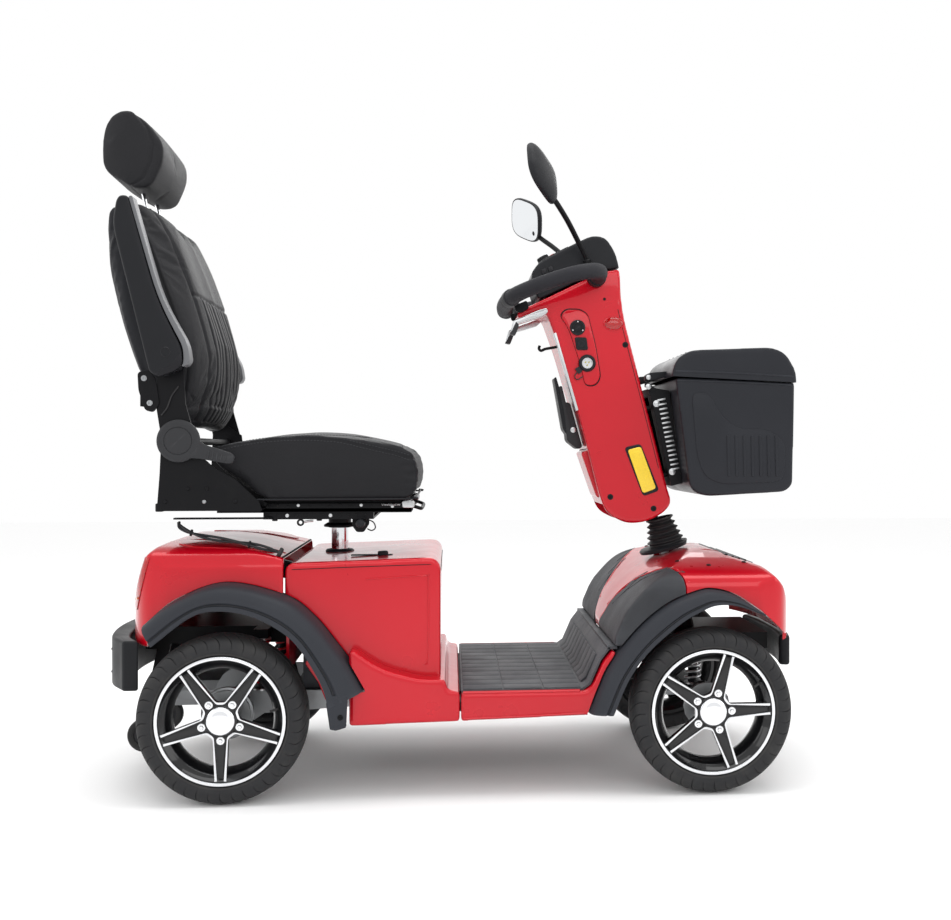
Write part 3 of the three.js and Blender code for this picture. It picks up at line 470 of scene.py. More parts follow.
def clear(name, colour, ribs, roughness=0.05, transmission=0.9):
    """A moulded lens with ribs across it."""
    f = Finish(name, colour, roughness, Transmission_Weight=transmission, IOR=1.49, Coat_Weight=0.5,
               Coat_Roughness=0.03)
    wave = f.add("TexWave", out=0, settings={"bands_direction": "Y"}, Vector=f.place, Scale=ribs)
    f.tint(f.level(f.noise(30, 3), 0.55, 0.8, 0.0, 0.15), tuple(c * 0.7 for c in colour))
    return f.bump(wave, 0.25, 0.0008).bump(f.noise(350, 2), 0.04, 0.0004).material


RED = paint("red_lacquer", (0.52, 0.0, 0.01), (0.24, 0.0, 0.005))
BLACK = plastic("black_plastic", (0.01, 0.0105, 0.0125), 0.42, light=(0.04, 0.042, 0.047))
FENDER = plastic("fender_plastic", (0.026, 0.028, 0.034), 0.5, 1100, 0.12, (0.08, 0.088, 0.105))
GLOSS = plastic("gloss_black_plastic", (0.012, 0.012, 0.014), 0.2, 500, 0.03, (0.03, 0.03, 0.034))
GREY = plastic("grey_plastic", (0.028, 0.0285, 0.031), 0.5, 1300, 0.1, (0.07, 0.07, 0.075))
PALE = plastic("pale_plastic", (0.13, 0.133, 0.14), 0.36, 1200, 0.06, (0.34, 0.34, 0.36))
BOX = plastic("box_plastic", (0.016, 0.017, 0.021), 0.36, 1500, 0.1, (0.06, 0.065, 0.078))
# Dark plastic for seams and clips, and also the painted shade that fills holes, slots and recesses.
DARK = plastic("dark_plastic_and_painted_shade", (0.009, 0.009, 0.011), 0.7, 700, 0.2, (0.03, 0.03, 0.03))
GRIP = plastic("grip_foam", (0.02, 0.02, 0.024), 0.62, 720, 0.5, (0.06, 0.06, 0.066))
STEEL_BLACK = metal("powder_coat", (0.004, 0.004, 0.005), 0.4, depth=0.16, stain=(0.012, 0.0115, 0.011),
                    metallic=0.0)
CHROME = metal("chrome", (0.82, 0.83, 0.85), 0.06, depth=0.01, stain=(0.6, 0.6, 0.62))
ZINC = metal("zinc_plate", (0.55, 0.56, 0.57), 0.3, (1, 1, 6), 0.06, (0.36, 0.34, 0.3))
MACHINED = metal("machined_alloy", (0.78, 0.79, 0.81), 0.2, (1, 8, 1), 0.05, (0.62, 0.62, 0.64))
CAST = metal("cast_alloy", (0.36, 0.37, 0.38), 0.5, depth=0.35, stain=(0.16, 0.155, 0.15))
RIM_BLACK = paint("rim_black", (0.005, 0.005, 0.006), (0.001, 0.001, 0.001))
VINYL = leather("seat_vinyl", (0.0115, 0.0115, 0.0135))
VINYL_SMOOTH = leather("band_vinyl", (0.0085, 0.009, 0.012), 0.42, 900, 0.22)
THREAD = rubber("thread", (0.026, 0.027, 0.03), 0.75, 2600, (0.06, 0.06, 0.066), 0.3, 0.5)
TYRE = rubber("tyre_rubber", (0.02, 0.0202, 0.022), 0.66, 900)
BOOT = rubber("boot_rubber", (0.014, 0.014, 0.016), 0.5, 700)
LOOM = rubber("loom_sleeve", (0.016, 0.017, 0.02), 0.55, 1600, depth=0.6)
MIRROR = metal("mirror_glass", (0.86, 0.88, 0.9), 0.03, depth=0.004, stain=(0.78, 0.8, 0.82))
LENS = clear("clear_lens", (0.93, 0.95, 0.97), 42)
TAIL = clear("tail_lens", (0.6, 0.004, 0.006), 60, 0.08, 0.45)
AMBER = clear("amber_lens", (0.75, 0.2, 0.01), 60, 0.08, 0.4)
WHITE_LAMP = clear("lamp_white", (0.85, 0.87, 0.9), 80, 0.15, 0.35)
BATTERY = plastic("battery_case", (0.05, 0.054, 0.062), 0.55, 900, 0.14)


def mat_rubber():
    """Ribbed floor mat: fine lines along it, with dust in patches and on the edges."""
    f = Finish("mat_rubber", (0.022, 0.0235, 0.028), 0.68, Specular_IOR_Level=0.45)
    lines = f.add("TexWave", out=0, settings={"bands_direction": "Y"}, Vector=f.place, Scale=150.0)
    f.tint(f.level(f.noise(9, 5), 0.42, 0.75, 0.0, 0.35), (0.055, 0.06, 0.07))
    f.edges((0.1, 0.105, 0.115), 0.52, 0.6, 0.7)
    f.rough(0.58, 0.75, 14)
    return f.bump(lines, 0.16, 0.0006).bump(f.noise(1300, 3), 0.22, 0.0005).material


def reflector(name, colour):
    """A prismatic reflector: small facets under a clear face."""
    f = Finish(name, colour, 0.18, 0.25, Coat_Weight=0.8, Coat_Roughness=0.05)
    facets = f.cells(420, "F1")
    f.tint(f.level(facets, 0.1, 0.6, 0.0, 0.35), tuple(c * 0.55 for c in colour))
    return f.bump(facets, 0.35, 0.001).material


MAT = mat_rubber()
YELLOW = reflector("yellow_reflector", (0.95, 0.66, 0.01))
GREEN_PIN = metal("socket_pin", (0.55, 0.5, 0.12), 0.35, depth=0.05)


def dress(obj, *materials, slot=None, body=None, smooth=32):
    """Gives a piece its materials, smooth shading and body; the slot argument is not used."""
    obj.data.materials.clear()
    for material in materials:
        obj.data.materials.append(material)
    if smooth:
        shade(obj, smooth)
    if body:
        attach(obj, body)
    return obj


def shade(obj, angle=32):
    """Smooth shading, broken where faces meet at more than the angle."""
    shape = bmesh.new()
    shape.from_mesh(obj.data)
    limit = math.radians(angle)
    for face in shape.faces:
        face.smooth = True
    for edge in shape.edges:
        edge.smooth = len(edge.link_faces) == 2 and edge.calc_face_angle(math.pi) < limit
    shape.to_mesh(obj.data)
    shape.free()
    return obj


def painted(obj, material):
    """One piece's material, before it is joined with others."""
    obj.data.materials.clear()
    obj.data.materials.append(material)
    obj.data.polygons.foreach_set("material_index", [0] * len(obj.data.polygons))
    return obj


def piece(name, parts, body, slot, smooth=32, replaces=()):
    """Joins painted parts into one named piece that rides on a body."""
    obj = join(name, parts)
    shade(obj, smooth)
    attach(obj, body)
    if replaces:
        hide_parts(*replaces)
    return obj


def repaint(node, material):
    """A CAD node that keeps its shape and gets a better material."""
    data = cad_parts[node].data
    if not data.materials:
        data.materials.append(material)
    for slot_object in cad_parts[node].material_slots:
        slot_object.material = material


# ---- lights, floor -------------------------------------------------------------------------------
def area_light(name, place, target, size, power, colour=(1, 1, 1)):
    data = bpy.data.lights.new(name, "AREA")
    data.shape = "RECTANGLE"
    data.size, data.size_y = size
    data.energy = power
    data.color = colour
    lamp = link(bpy.data.objects.new(name, data))
    lamp.location = place
    lamp.rotation_euler = (Vector(target) - Vector(place)).to_track_quat("-Z", "Y").to_euler()
    return lamp


area_light("top_softbox", (0.0, -0.3, 3.2), (0, 0, 0.5), (3.6, 1.5), 44)
area_light("front_softbox", (0.4, -3.6, 2.3), (0, 0, 0.6), (3.2, 1.3), 20)
area_light("nose_softbox", (3.2, -1.2, 1.8), (0.2, 0, 0.6), (1.4, 2.0), 16)
area_light("seat_softbox", (-3.2, -1.0, 1.7), (-0.2, 0, 0.6), (1.4, 2.0), 14)
area_light("back_softbox", (0.0, 3.2, 2.4), (0, 0, 0.6), (3.0, 1.4), 26)

world = bpy.data.worlds.new("studio")
world.use_nodes = True
world.node_tree.nodes["Background"].inputs["Color"].default_value = (1.0, 1.0, 1.0, 1.0)
world.node_tree.nodes["Background"].inputs["Strength"].default_value = 1.0
bpy.context.scene.world = world
bpy.context.scene.view_settings.view_transform = "Standard"

floor = make("floor", [(-9, -9, 0), (9, -9, 0), (9, 9, 0), (-9, 9, 0)], [(0, 1, 2, 3)])
floor_finish = Finish("floor_paper", (0.97, 0.97, 0.97), 0.9, Specular_IOR_Level=0.1)
floor_finish.bump(floor_finish.noise(40, 3), 0.02)
floor.data.materials.append(floor_finish.material)


# ---- outlines shared by the covers ---------------------------------------------------------------
REAR_ARCH_TOP = [(-166, 381), (-101, 432), (2, 467), (126, 438), (188, 393), (240, 329), (271, 286),
                 (299, 237)]
REAR_ARCH_UNDER = [(-141, 339), (-60, 400), (-2, 412), (63, 401), (126, 368), (167, 328), (209, 256),
                   (225, 205)]
FRONT_ARCH_TOP = [(782, 179), (804, 235), (830, 288), (891, 363), (957, 416), (1023, 444), (1062, 447),
                  (1111, 432),
                  (1169, 394)]
FRONT_ARCH_UNDER = [(835, 178), (869, 255), (913, 315), (979, 372), (1023, 398), (1062, 413),
                    (1111, 410), (1169, 389)]
COWL_TOP = [(842, 347), (874, 408), (948, 476), (1073, 517), (1148, 499), (1186, 489), (1224, 449),
            (1262, 379),
            (1275, 330)]
SHELL = 6
BODY_HALF = 300
FLOOR_TOP = 226


def path(*parts):
    """An outline from single corners and from lists of points, each list joined on as a smooth line."""
    line = []
    for part in parts:
        if isinstance(part, list):
            line += through([line[-1], *part], 8)[1:]
        else:
            line.append(part)
    return line


def mirrored_bars(outline, ys, plane="side"):
    return [prism(outline, *sorted((side * ys[0], side * ys[1])), plane) for _, side in SIDES]


def rear_arches(margin, inside=239, outside=400):
    m = margin
    top = [(x + m * math.copysign(1, x), z + m) for x, z in REAR_ARCH_TOP]
    outline = path((-166 - m, 20), (-166 - m, 381 + m), top[1:], (299 + m, 234), (263 + m, 227),
                   (263 + m, 20))
    return mirrored_bars(outline, (inside, outside))


def front_arches(margin, inside=239, outside=400):
    m = margin
    top = [(x + (-m if x < 1000 else m), z + m) for x, z in FRONT_ARCH_TOP]
    outline = path((782 - m, 20), (782 - m, 179), top[1:], (1228, 342), (1300, 325), (1300, 20))
    return mirrored_bars(outline, (inside, outside))


def front_body(inset=0.0):
    i = inset
    low = 296 if i else 322
    side = path((838 + i, low), (842 + i, 347 - i), [(x, z - i) for x, z in COWL_TOP[1:6]],
                *[(x - i, z - i / 2) for x, z in COWL_TOP[6:]], (1270 - i, low))
    half = BODY_HALF - i
    front = path((-half, 200), (-half, 452 - i),
                 [(-half + 14, 474 - i), (-240, 490 - i), (-120, 510 - i), (0, 518 - i),
                 (120, 510 - i), (240, 490 - i), (half - 14, 474 - i), (half, 452 - i)], (half, 200))
    plan = path((700, -half), (1165, -half), [(1222 - i, -half + 22), (1255 - i, -190), (1276 - i, -70),
                (1276 - i, 70), (1255 - i, 190), (1222 - i, half - 22), (1165, half)], (700, half))
    return meet(prism(side, -half, half), prism(front, 800, 1300, "front"), prism(plan, 200, 600, "plan"))


def rear_body(inset=0.0):
    i = inset
    low, back = (200, 20) if i else (326, 0)
    side = path((-236 + i, low), (-240 + i, 348), (-172 + i, 524 - i),
                [(-150 + i, 543 - i), (-112, 551 - i), (5, 543 - i), (122 + back, 517 - i)],
                (122 + back, low))
    half = 262 - i
    plan = path((200, -half), (-130, -half), [(-178 + i, -half + 18), (-208 + i, -190), (-238 + i, -70),
                (-238 + i, 70), (-208 + i, 190), (-178 + i, half - 18), (-130, half)], (200, half))
    front = path((-half, 100), (-half, 500 - i), [(-half + 22, 532 - i), (-180, 545 - i), (0, 552 - i),
                 (180, 545 - i), (half - 22, 532 - i), (half, 500 - i)], (half, 100))
    return meet(prism(side, -half, half), prism(plan, 150, 600, "plan"), prism(front, -300, 200, "front"))


def cowl_plan(grow):
    g = grow
    return prism(rounded([(840 - g, -40), (852 - g, -70), (905 - g, -130 - g), (960 - g, -220 - g),
                          (1008 - g, -320),
                          (1320, -320), (1320, 320), (1008 - g, 320), (960 - g, 220 + g), (905 - g, 130 + g),
                          (852 - g, 70), (840 - g, 40)], 24), 316, 600, "plan")


def lamp_zone(grow, half=150):
    g = grow
    return prism(rounded([(1122 - g, 540), (1122 - g, 490), (1160, 428 - g), (1206, 398 - g), (1258, 372 - g),
                          (1320, 372 - g), (1320, 540)], 8), -half - g, half + g)


# ---- front body: red cowl, matted wings, headlamp ------------------------------------------------
FRONT_SOLID = soften(front_body(), 5, 10)
CAVITY = front_body(SHELL + 1)
FRONT_SHELL = cut(copy_of(FRONT_SOLID), CAVITY, *front_arches(1.2))
shaft_bore = tube([(1030, 0, 415), (1002, 0, 520), (995, 0, 546)], 27, 28, 1)
lamp_cut = lamp_zone(0)
cowl = cut(meet(copy_of(FRONT_SHELL), cowl_plan(-1.4)), lamp_cut, shaft_bore)
cowl_body = painted(cowl, RED)


def on_cowl(x, y):
    """The height of the front body's skin, and its slope, over a point of the plan."""
    local = FRONT_SOLID.matrix_world.inverted()
    start = at(x, y, 700)
    hit, where, normal, _ = FRONT_SOLID.ray_cast(local @ start, Vector((0, 0, -1)))
    return (where, normal) if hit else (at(x, y, 330), Vector((0, 0, 1)))


def on_shape(obj, start, way):
    """Where a ray from a design point meets a shape, with the surface's normal there."""
    hit, where, normal, _ = obj.ray_cast(at(*start), Vector(way).normalized())
    return (where, normal) if hit else (at(*start), -Vector(way).normalized())


def design(point):
    return ((point.x - AXLE_X) / MM, point.y / MM, point.z / MM)


def bead(points, width, material, sides=8):
    """A thin bead of trim laid along surface points."""
    return painted(tube([design(p) if isinstance(p, Vector) else p for p in points], width / 2, sides,
                        3), material)


def skin_line(points, lift=0.2):
    """Points of the front body's skin under a line of plan points."""
    line = []
    for x, y in points:
        where, normal = on_cowl(x, y)
        line.append(where + normal * lift * MM)
    return line


cowl_parts = [cowl_body]
# The raised collar round the steering column, and the lip where the cowl meets the matted wings.
collar = lathe([(29, -4), (58, -4), (60, 2), (56, 6), (40, 8), (31, 6), (29, 2)], (1006, 0, 512),
               (-math.sin(math.radians(15)), 0, math.cos(math.radians(15))), 48, closed=True)
cowl_parts.append(painted(collar, BLACK))
for _, side in SIDES:
    edge = [(856, 64), (880, 96), (905, 126), (932, 172), (960, 214), (984, 262), (1004, 296)]
    cowl_parts.append(bead(skin_line([(x + 2, side * y) for x, y in edge], -0.8), 4.5, RED))
    crease = [(1040, 70), (1090, 84), (1118, 100)]
    cowl_parts.append(bead(skin_line([(x, side * y) for x, y in crease], -2.4), 7, RED))
    for x, y in ((1000, 196), (1064, 232), (1150, 212)):
        cowl_parts.append(painted(bolt(design(on_cowl(x, side * y)[0]), on_cowl(x, side * y)[1], 5.5,
                                       2.4, "dome"),
                                  STEEL_BLACK))
piece("nose_cowl", cowl_parts, "chassis", "red_paint", 40, ["front_cowl"])

# The headlamp: a black louvred bezel across the nose, with a clear lens and lamps in each corner.
lamp_outer = meet(copy_of(FRONT_SOLID), lamp_zone(-1.2))
lamp_shell = cut(lamp_outer, front_body(14))
lens_shape = meet(copy_of(FRONT_SOLID),
                  prism(rounded([(1196, 470), (1210, 452), (1222, 420), (1262, 392), (1300, 380),
                  (1300, 470)], 8), -142, 142))
lens_pieces = []
for _, side in SIDES:
    window = block((1180, 1300), (side * 34, side * 139), (384, 470), 6)
    lens_pieces.append(cut(meet(copy_of(lens_shape), window), front_body(6)))
    tools = block((1180, 1300), (side * 34.6, side * 138.4), (384.6, 469.4), 6)
    opening = meet(copy_of(lens_shape), tools)
    lamp_shell = cut(lamp_shell, opening)
discard(lens_shape)
lamp_parts = [painted(lamp_shell, GLOSS)]
for step in range(5):
    x = 1128 + step * 15
    line = [on_shape(FRONT_SOLID, (x, y, 620), (0, 0, -1))[0] for y in range(-140, 141, 28)]
    lamp_parts.append(bead([p + Vector((0, 0, -1.2 * MM)) for p in line], 8.5, BLACK))
for _, side in SIDES:
    for y, r in ((62, 17), (108, 20)):
        bowl = lathe([(4, 0), (r * 0.6, 2), (r, 12), (r + 1.6, 12), (r * 0.6, -0.5), (4, -3)],
                     (1222, side * y, 420), (0.86, side * 0.1, 0.5), 32, closed=True)
        bulb = lathe([(0.01, 14), (4, 13), (6, 9), (6, 1), (0.01, 1)], (1220, side * y, 419),
                     (0.86, side * 0.1, 0.5), 24)
        lamp_parts += [painted(bowl, CHROME), painted(bulb, WHITE_LAMP)]
piece("headlamp_bezel", lamp_parts, "chassis", "black_plastic", 40, ["headlamp_unit"])
for (word, _), lens in zip(SIDES, lens_pieces):
    dress(lens, LENS, slot="lens", body="chassis").name = f"headlamp_lens_{word}"

# ---- floor mat and the red floor pan -------------------------------------------------------------
RAMP = [(774, 226), (792, 238), (816, 290), (836, 314)]
pan_side = path((505, 166), (781, 174), (842, 174), (842, 314), *reversed(RAMP), (505, FLOOR_TOP))
pan = soften(prism(pan_side, -BODY_HALF, BODY_HALF), 4.5, 8)
pan_inside = prism([(480, 100), (900, 100), (900, 303), (841, 303), (820, 282), (796, 232), (776, 220),
                    (480, 220)],
                   -(BODY_HALF - SHELL), BODY_HALF - SHELL)
pan_body = cut(pan, pan_inside, *front_arches(1.2))
pan_parts = [painted(pan_body, RED)]
for _, side in SIDES:
    # A rolled bead along the sill, and the raised rail that frames the mat.
    sill = [(512, side * 298, 172), (640, side * 299.2, 175), (772, side * 299, 180)]
    pan_parts.append(bead(sill, 5, RED))
    rail = [(510, side * 294, 227), (650, side * 294, 227), (764, side * 294, 227.4)]
    pan_parts.append(bead(rail, 7, RED))
piece("floor_pan", pan_parts, "chassis", "red_paint", 40, ["deck_pan"])

mat_parts = []
mat_half = BODY_HALF - 14
sheet = [(506, 226.4), (772, 226.4), (789, 239), (812, 291), (833, 318)]
sheet_top = [(829, 320), (808, 293), (785, 241), (770, 230.6), (506, 230.6)]
base = prism(path(*sheet, *sheet_top), -mat_half, mat_half)
wings = cut(copy_of(FRONT_SHELL), cowl_plan(1.4))
bridge = cut(block((826, 848), (-mat_half, mat_half), (315, 322.6), 0.6), cowl_plan(1.4))
mat_parts += [painted(cut(base, *front_arches(1.2)), MAT), painted(cut(bridge, *front_arches(1.2)), MAT),
              painted(wings, MAT)]
# Raised planks: long ribs on the floor with cross grooves, climbing the ramp.
plank_edges = [-282, -236, -190, -142, -94, -47, 0, 47, 94, 142, 190, 236, 282]
for low, high in zip(plank_edges, plank_edges[1:]):
    for x0, x1 in ((511, 596), (599, 684), (687, 768)):
        mat_parts.append(painted(block((x0, x1), (low + 1.3, high - 1.3), (229.6, 232.4), 0.9, 2), MAT))
    if abs(low + high) / 2 < 232:
        ramp_plank = prism([(774, 233), (787, 243.4), (810, 294.6), (806.8, 296), (783.6, 246.2),
                            (772, 236.4)],
                           low + 1.3, high - 1.3)
        mat_parts.append(painted(bevel(ramp_plank, 0.8, 2), MAT))
# Panels on the wings, divided by thin lines that run down to the fender.
for _, side in SIDES:
    for row in range(4):
        for k in range(4):
            x = 862 + row * 27 + k * 30
            y = 118 + k * 40 + row * 5
            corners = [(x, y), (x + 24, y + 3), (x + 50, y + 36), (x + 26, y + 34)]
            ring, inner = [], []
            for cx, cy in corners:
                where, normal = on_cowl(cx, side * cy)
                ring.append(where + normal * 1.6 * MM)
                inner.append(where - normal * 1.5 * MM)
            if max(c[0] for c in corners) < 905 + (y - 60) * 0.62 and y + 36 < 285:
                slab = make("slab", inner + ring,
                            [(0, 1, 2, 3), (4, 5, 6, 7), (0, 1, 5, 4), (1, 2, 6, 5), (2, 3, 7, 6),
                                                   (3, 0, 4, 7)])
                mat_parts.append(painted(bevel(slab, 0.9, 2), MAT))
piece("floor_mat", mat_parts, "chassis", "mat_rubber", 40, ["deck_mat"])
discard(FRONT_SHELL)

# ---- seat base cover -----------------------------------------------------------------------------
cover_side = [(124, 262, 20), (124, 494, 16), (136, 506, 14), (446, 516, 22), (462, 500, 22),
              (462, 235, 10), (300, 235, 10)]
cover_box = soften(prism(rounded(cover_side, 14), -255, 255), 4.5, 10)
cover_skirt = soften(prism(rounded([(266, 160), (504, 166), (504, 229), (477, 235), (471, 257),
                                    (420, 257, 30),
                                    (334, 280, 60), (276, 322), (266, 322)], 4), -BODY_HALF, BODY_HALF),
                                    4.5, 8)
cover_inside = prism([(130, 100), (130, 490), (140, 499), (443, 509), (455, 497), (455, 100)], -249, 249)
skirt_inside = prism([(200, 100), (520, 100), (520, 223), (472, 229), (465, 250), (418, 250), (331, 272),
                      (200, 300)],
                     -294, 294)
post_hole = tube([(218, 0, 400), (218, 0, 600)], 22, 32, 1)
cover = unite(cover_box, cover_skirt)
cover = cut(cover, cover_inside, skirt_inside, post_hole, *rear_arches(1.2, 226))
COVER = painted(cover, RED)
cover_parts = [COVER]
for _, side in SIDES:
    # The lid line round the top of the cover and the side panel's frame; one hold-down knob is added after
    # them.
    lid = [(140, side * 255.4, 492), (290, side * 255.6, 497), (440, side * 255.2, 501)]
    cover_parts.append(bead([(x, y * 0.9985, z) for x, y, z in lid], 1.6, DARK))
    # The side panel's shallow frame.
    frame_line = [(300, side * 255.2, 470), (424, side * 255.2, 476), (434, side * 255.2, 462),
                  (434, side * 255.2, 300),
                  (424, side * 255.2, 282)]
    cover_parts.append(bead(frame_line, 3.2, RED))
front_line = [(462.2, y, 486 + 2 * math.cos(y / 255 * 1.5)) for y in range(-240, 241, 48)]
cover_parts.append(bead(front_line, 1.6, DARK))
pull = lathe([(0.01, 9), (10, 9), (12, 7), (12, 2), (15, 0), (0.01, 0)], (330, -150, 512.6),
             (-0.03, 0, 1), 36)
cover_parts.append(painted(pull, BLACK))
strap = block((258, 352), (-158, -142), (511.6, 514.2), 1)
cover_parts.append(painted(strap, BLACK))
post_ring = lathe([(22.5, 0), (34, 0), (34, 3), (31, 6), (22.5, 7)], (218, 0, 508), (0, 0, 1), 48,
                  closed=True)
cover_parts.append(painted(post_ring, BLACK))
piece("seat_base_cover", cover_parts, "chassis", "red_paint", 40, ["battery_cover"])

# ---- rear cover ----------------------------------------------------------------------------------
REAR_SOLID = soften(rear_body(), 5, 9)
rear_shell = cut(copy_of(REAR_SOLID), rear_body(SHELL + 1), *rear_arches(1.2, -1, 400))
tail_parts = [painted(rear_shell, RED)]
for _, side in SIDES:
    # The raised panel on top, with the crease beside it.
    panel = [(-112, side * 150), (40, side * 150), (88, side * 168), (96, side * 205), (70, side * 232),
             (-70, side * 226), (-118, side * 196)]
    ring = []
    for x, y in rounded(panel, 16, 4):
        where, normal = on_shape(REAR_SOLID, (x, y, 700), (0, 0, -1))
        ring.append((where, normal))
    top = [w + n * 2.2 * MM for w, n in ring]
    low = [w - n * 2.0 * MM for w, n in ring]
    middle = sum((w for w, _ in ring), Vector()) / len(ring)
    inner = [w + (middle - w) * 0.06 + n * 3.2 * MM for w, n in ring]
    centre = on_shape(REAR_SOLID, (*design(middle)[:2], 700), (0, 0, -1))[0] + Vector((0, 0, 3.4 * MM))
    count = len(ring)
    verts = low + top + inner + [centre]
    faces = [(r * count + i, r * count + (i + 1) % count, (r + 1) * count + (i + 1) % count,
              (r + 1) * count + i)
             for r in range(2) for i in range(count)]
    faces += [(2 * count + i, 2 * count + (i + 1) % count, 3 * count) for i in range(count)]
    faces.append(tuple(range(count - 1, -1, -1)))
    tail_parts.append(painted(make("panel", verts, faces), RED))
    crease = [on_shape(REAR_SOLID, (x, side * y, 700), (0, 0, -1))[0] for x, y in
              ((-150, 120), (-80, 128), (0, 132), (80, 142), (112, 160))]
    tail_parts.append(bead([p - Vector((0, 0, 1.6 * MM)) for p in crease], 6, RED))
    # Tail lamp wrapped round the corner.
    lamp = meet(copy_of(REAR_SOLID), prism([(-182, 520), (-160, 520), (-196, 404), (-222, 404)],
                                            *sorted((side * 130, side * 300))))
    lamp_skin = cut(lamp, rear_body(4))
    for vertex in lamp_skin.data.vertices:
        away = (vertex.co - at(0, side * 120, 440)).normalized()
        vertex.co += away * 1.6 * MM
    tail_parts.append(painted(lamp_skin, TAIL))
    mouth = [on_shape(REAR_SOLID, (-400, side * y, z), (1, 0, 0))[0] for y,
             z in ((132, 420), (180, 422), (228, 430))]
    tail_parts.append(bead([p + Vector((-0.6 * MM, 0, 0)) for p in mouth], 7, AMBER))
seam = [on_shape(REAR_SOLID, (118, y, 700), (0, 0, -1))[0] for y in range(-240, 241, 30)]
tail_parts.append(bead([p - Vector((0, 0, 0.5 * MM)) for p in seam], 5, DARK))
grommet = lathe([(6.2, -3), (11, -3), (11, 3), (9, 5), (6.2, 5)], (112, -238, 528), (0.55, 0, -0.3), 24,
                closed=True)
tail_parts.append(painted(grommet, BOOT))
piece("rear_cover", tail_parts, "chassis", "red_paint", 40, ["rear_cowl"])


# ---- bumpers -------------------------------------------------------------------------------------
def bumper(name, node, outside, inside, zs, ribs):
    outline = path(outside[0], outside[1:], inside[0], inside[1:])
    bar = bevel(prism(outline, *zs, "plan"), 7, 4, 50)
    parts = [painted(bar, BLACK)]
    for z in ribs:
        line = through([(x, y, z) for x, y in outside[1:-1]], 4)
        parts.append(bead(line, 4.4, BLACK))
    return piece(name, parts, "chassis", "black_plastic", 40, [node])


bumper("rear_buffer", "rear_bumper", [(-218, -255), (-262, -180), (-286, -60), (-286, 60), (-262, 180),
                                      (-218, 255)],
                  [(-184, 255), (-222, 180), (-243, 60), (-243, -60), (-222, -180), (-184, -255)],
                  (233, 341), (262, 312))
bumper("nose_buffer", "front_bumper", [(1271, 170), (1284, 110), (1289, 40), (1289, -40), (1284, -110),
                                       (1271, -170)],
                   [(1247, -164), (1257, -105), (1262, -40), (1262, 40), (1257, 105), (1247, 164)],
                   (250, 320), (270, 300))


# ---- fenders -------------------------------------------------------------------------------------
BAND = [(0, 320.5), (0.015, 325), (0.05, 326), (0.20, 326), (0.225, 322.6), (0.265, 322), (0.30, 323.5),
        (0.34, 326),
        (0.52, 325), (0.70, 322), (0.84, 315), (0.93, 304), (0.985, 288), (1, 272), (1, 240)]
BAND_INSIDE = [(0.955, 240), (0.955, 272), (0.94, 286), (0.89, 300), (0.80, 310), (0.68, 316),
               (0.34, 319.5), (0, 318)]


def resampled(line, count):
    lengths = [0.0]
    for a, b in zip(line, line[1:]):
        lengths.append(lengths[-1] + math.dist(a, b))
    out = []
    for k in range(count):
        goal = lengths[-1] * k / (count - 1)
        i = next((i for i, l in enumerate(lengths) if l >= goal), len(lengths) - 1)
        i = max(i, 1)
        span = (goal - lengths[i - 1]) / max(lengths[i] - lengths[i - 1], 1e-9)
        out.append(tuple(a + (b - a) * span for a, b in zip(line[i - 1], line[i])))
    return out


def fender(name, node, top, under, side, foot):
    count = 72
    tops, unders = resampled(through(top, 10), count), resampled(through(under, 10), count)
    rings = []
    for (tx, tz), (ux, uz) in zip(tops, unders):
        rings.append([at(ux + (tx - ux) * s, side * y, uz + (tz - uz) * s) for s, y in BAND + BAND_INSIDE])
    body = painted(loft(rings), FENDER)
    parts = [body]
    # The thin light line that is moulded along the lip, and the fixing screws behind it.
    line = [at(ux + (tx - ux) * 0.245, side * 323.2, uz + (tz - uz) * 0.245) for (tx, tz),
            (ux, uz) in zip(tops, unders)]
    parts.append(painted(tube([design(p) for p in line[2:-2:3]], 1.1, 6, 2), GREY))
    if foot:
        parts.append(painted(plate(foot, (316.5, 325.6), side, 2.0, 3), FENDER))
        x, z = foot[2][0] - 12, foot[2][1] + 22
        parts.append(painted(bolt((x, side * 325.4, z), (0, side, 0), 4.5, 2.6, "socket"), STEEL_BLACK))
    return piece(name, parts, "chassis", "black_plastic", 40, [node])


REAR_FOOT = [(226, 232), (266, 232), (263, 164), (242, 158), (229, 160), (221, 214)]
for word, side in SIDES:
    fender(f"rear_guard_{word}", f"rear_fender_{word}", REAR_ARCH_TOP, REAR_ARCH_UNDER, side, REAR_FOOT)
    fender(f"front_guard_{word}", f"front_fender_{word}", FRONT_ARCH_TOP, FRONT_ARCH_UNDER, side, None)
discard(REAR_SOLID)
discard(FRONT_SOLID)


# ---- wheels --------------------------------------------------------------------------------------
TREAD = [(30, 131), (33.5, 137), (37.5, 140.2), (41.5, 141.6), (44, 145.5), (45.6, 150.5), (45.9, 156),
         (45.4, 161),
         (44.0, 165.5), (41.2, 169.6), (37.0, 173), (31.0, 175.8), (24, 177.7), (17, 178.9),
         (12.2, 179.5), (11.6, 179.5),
         (9.6, 179.7), (9.0, 179.7), (4, 180)]
BLOCKS = 40


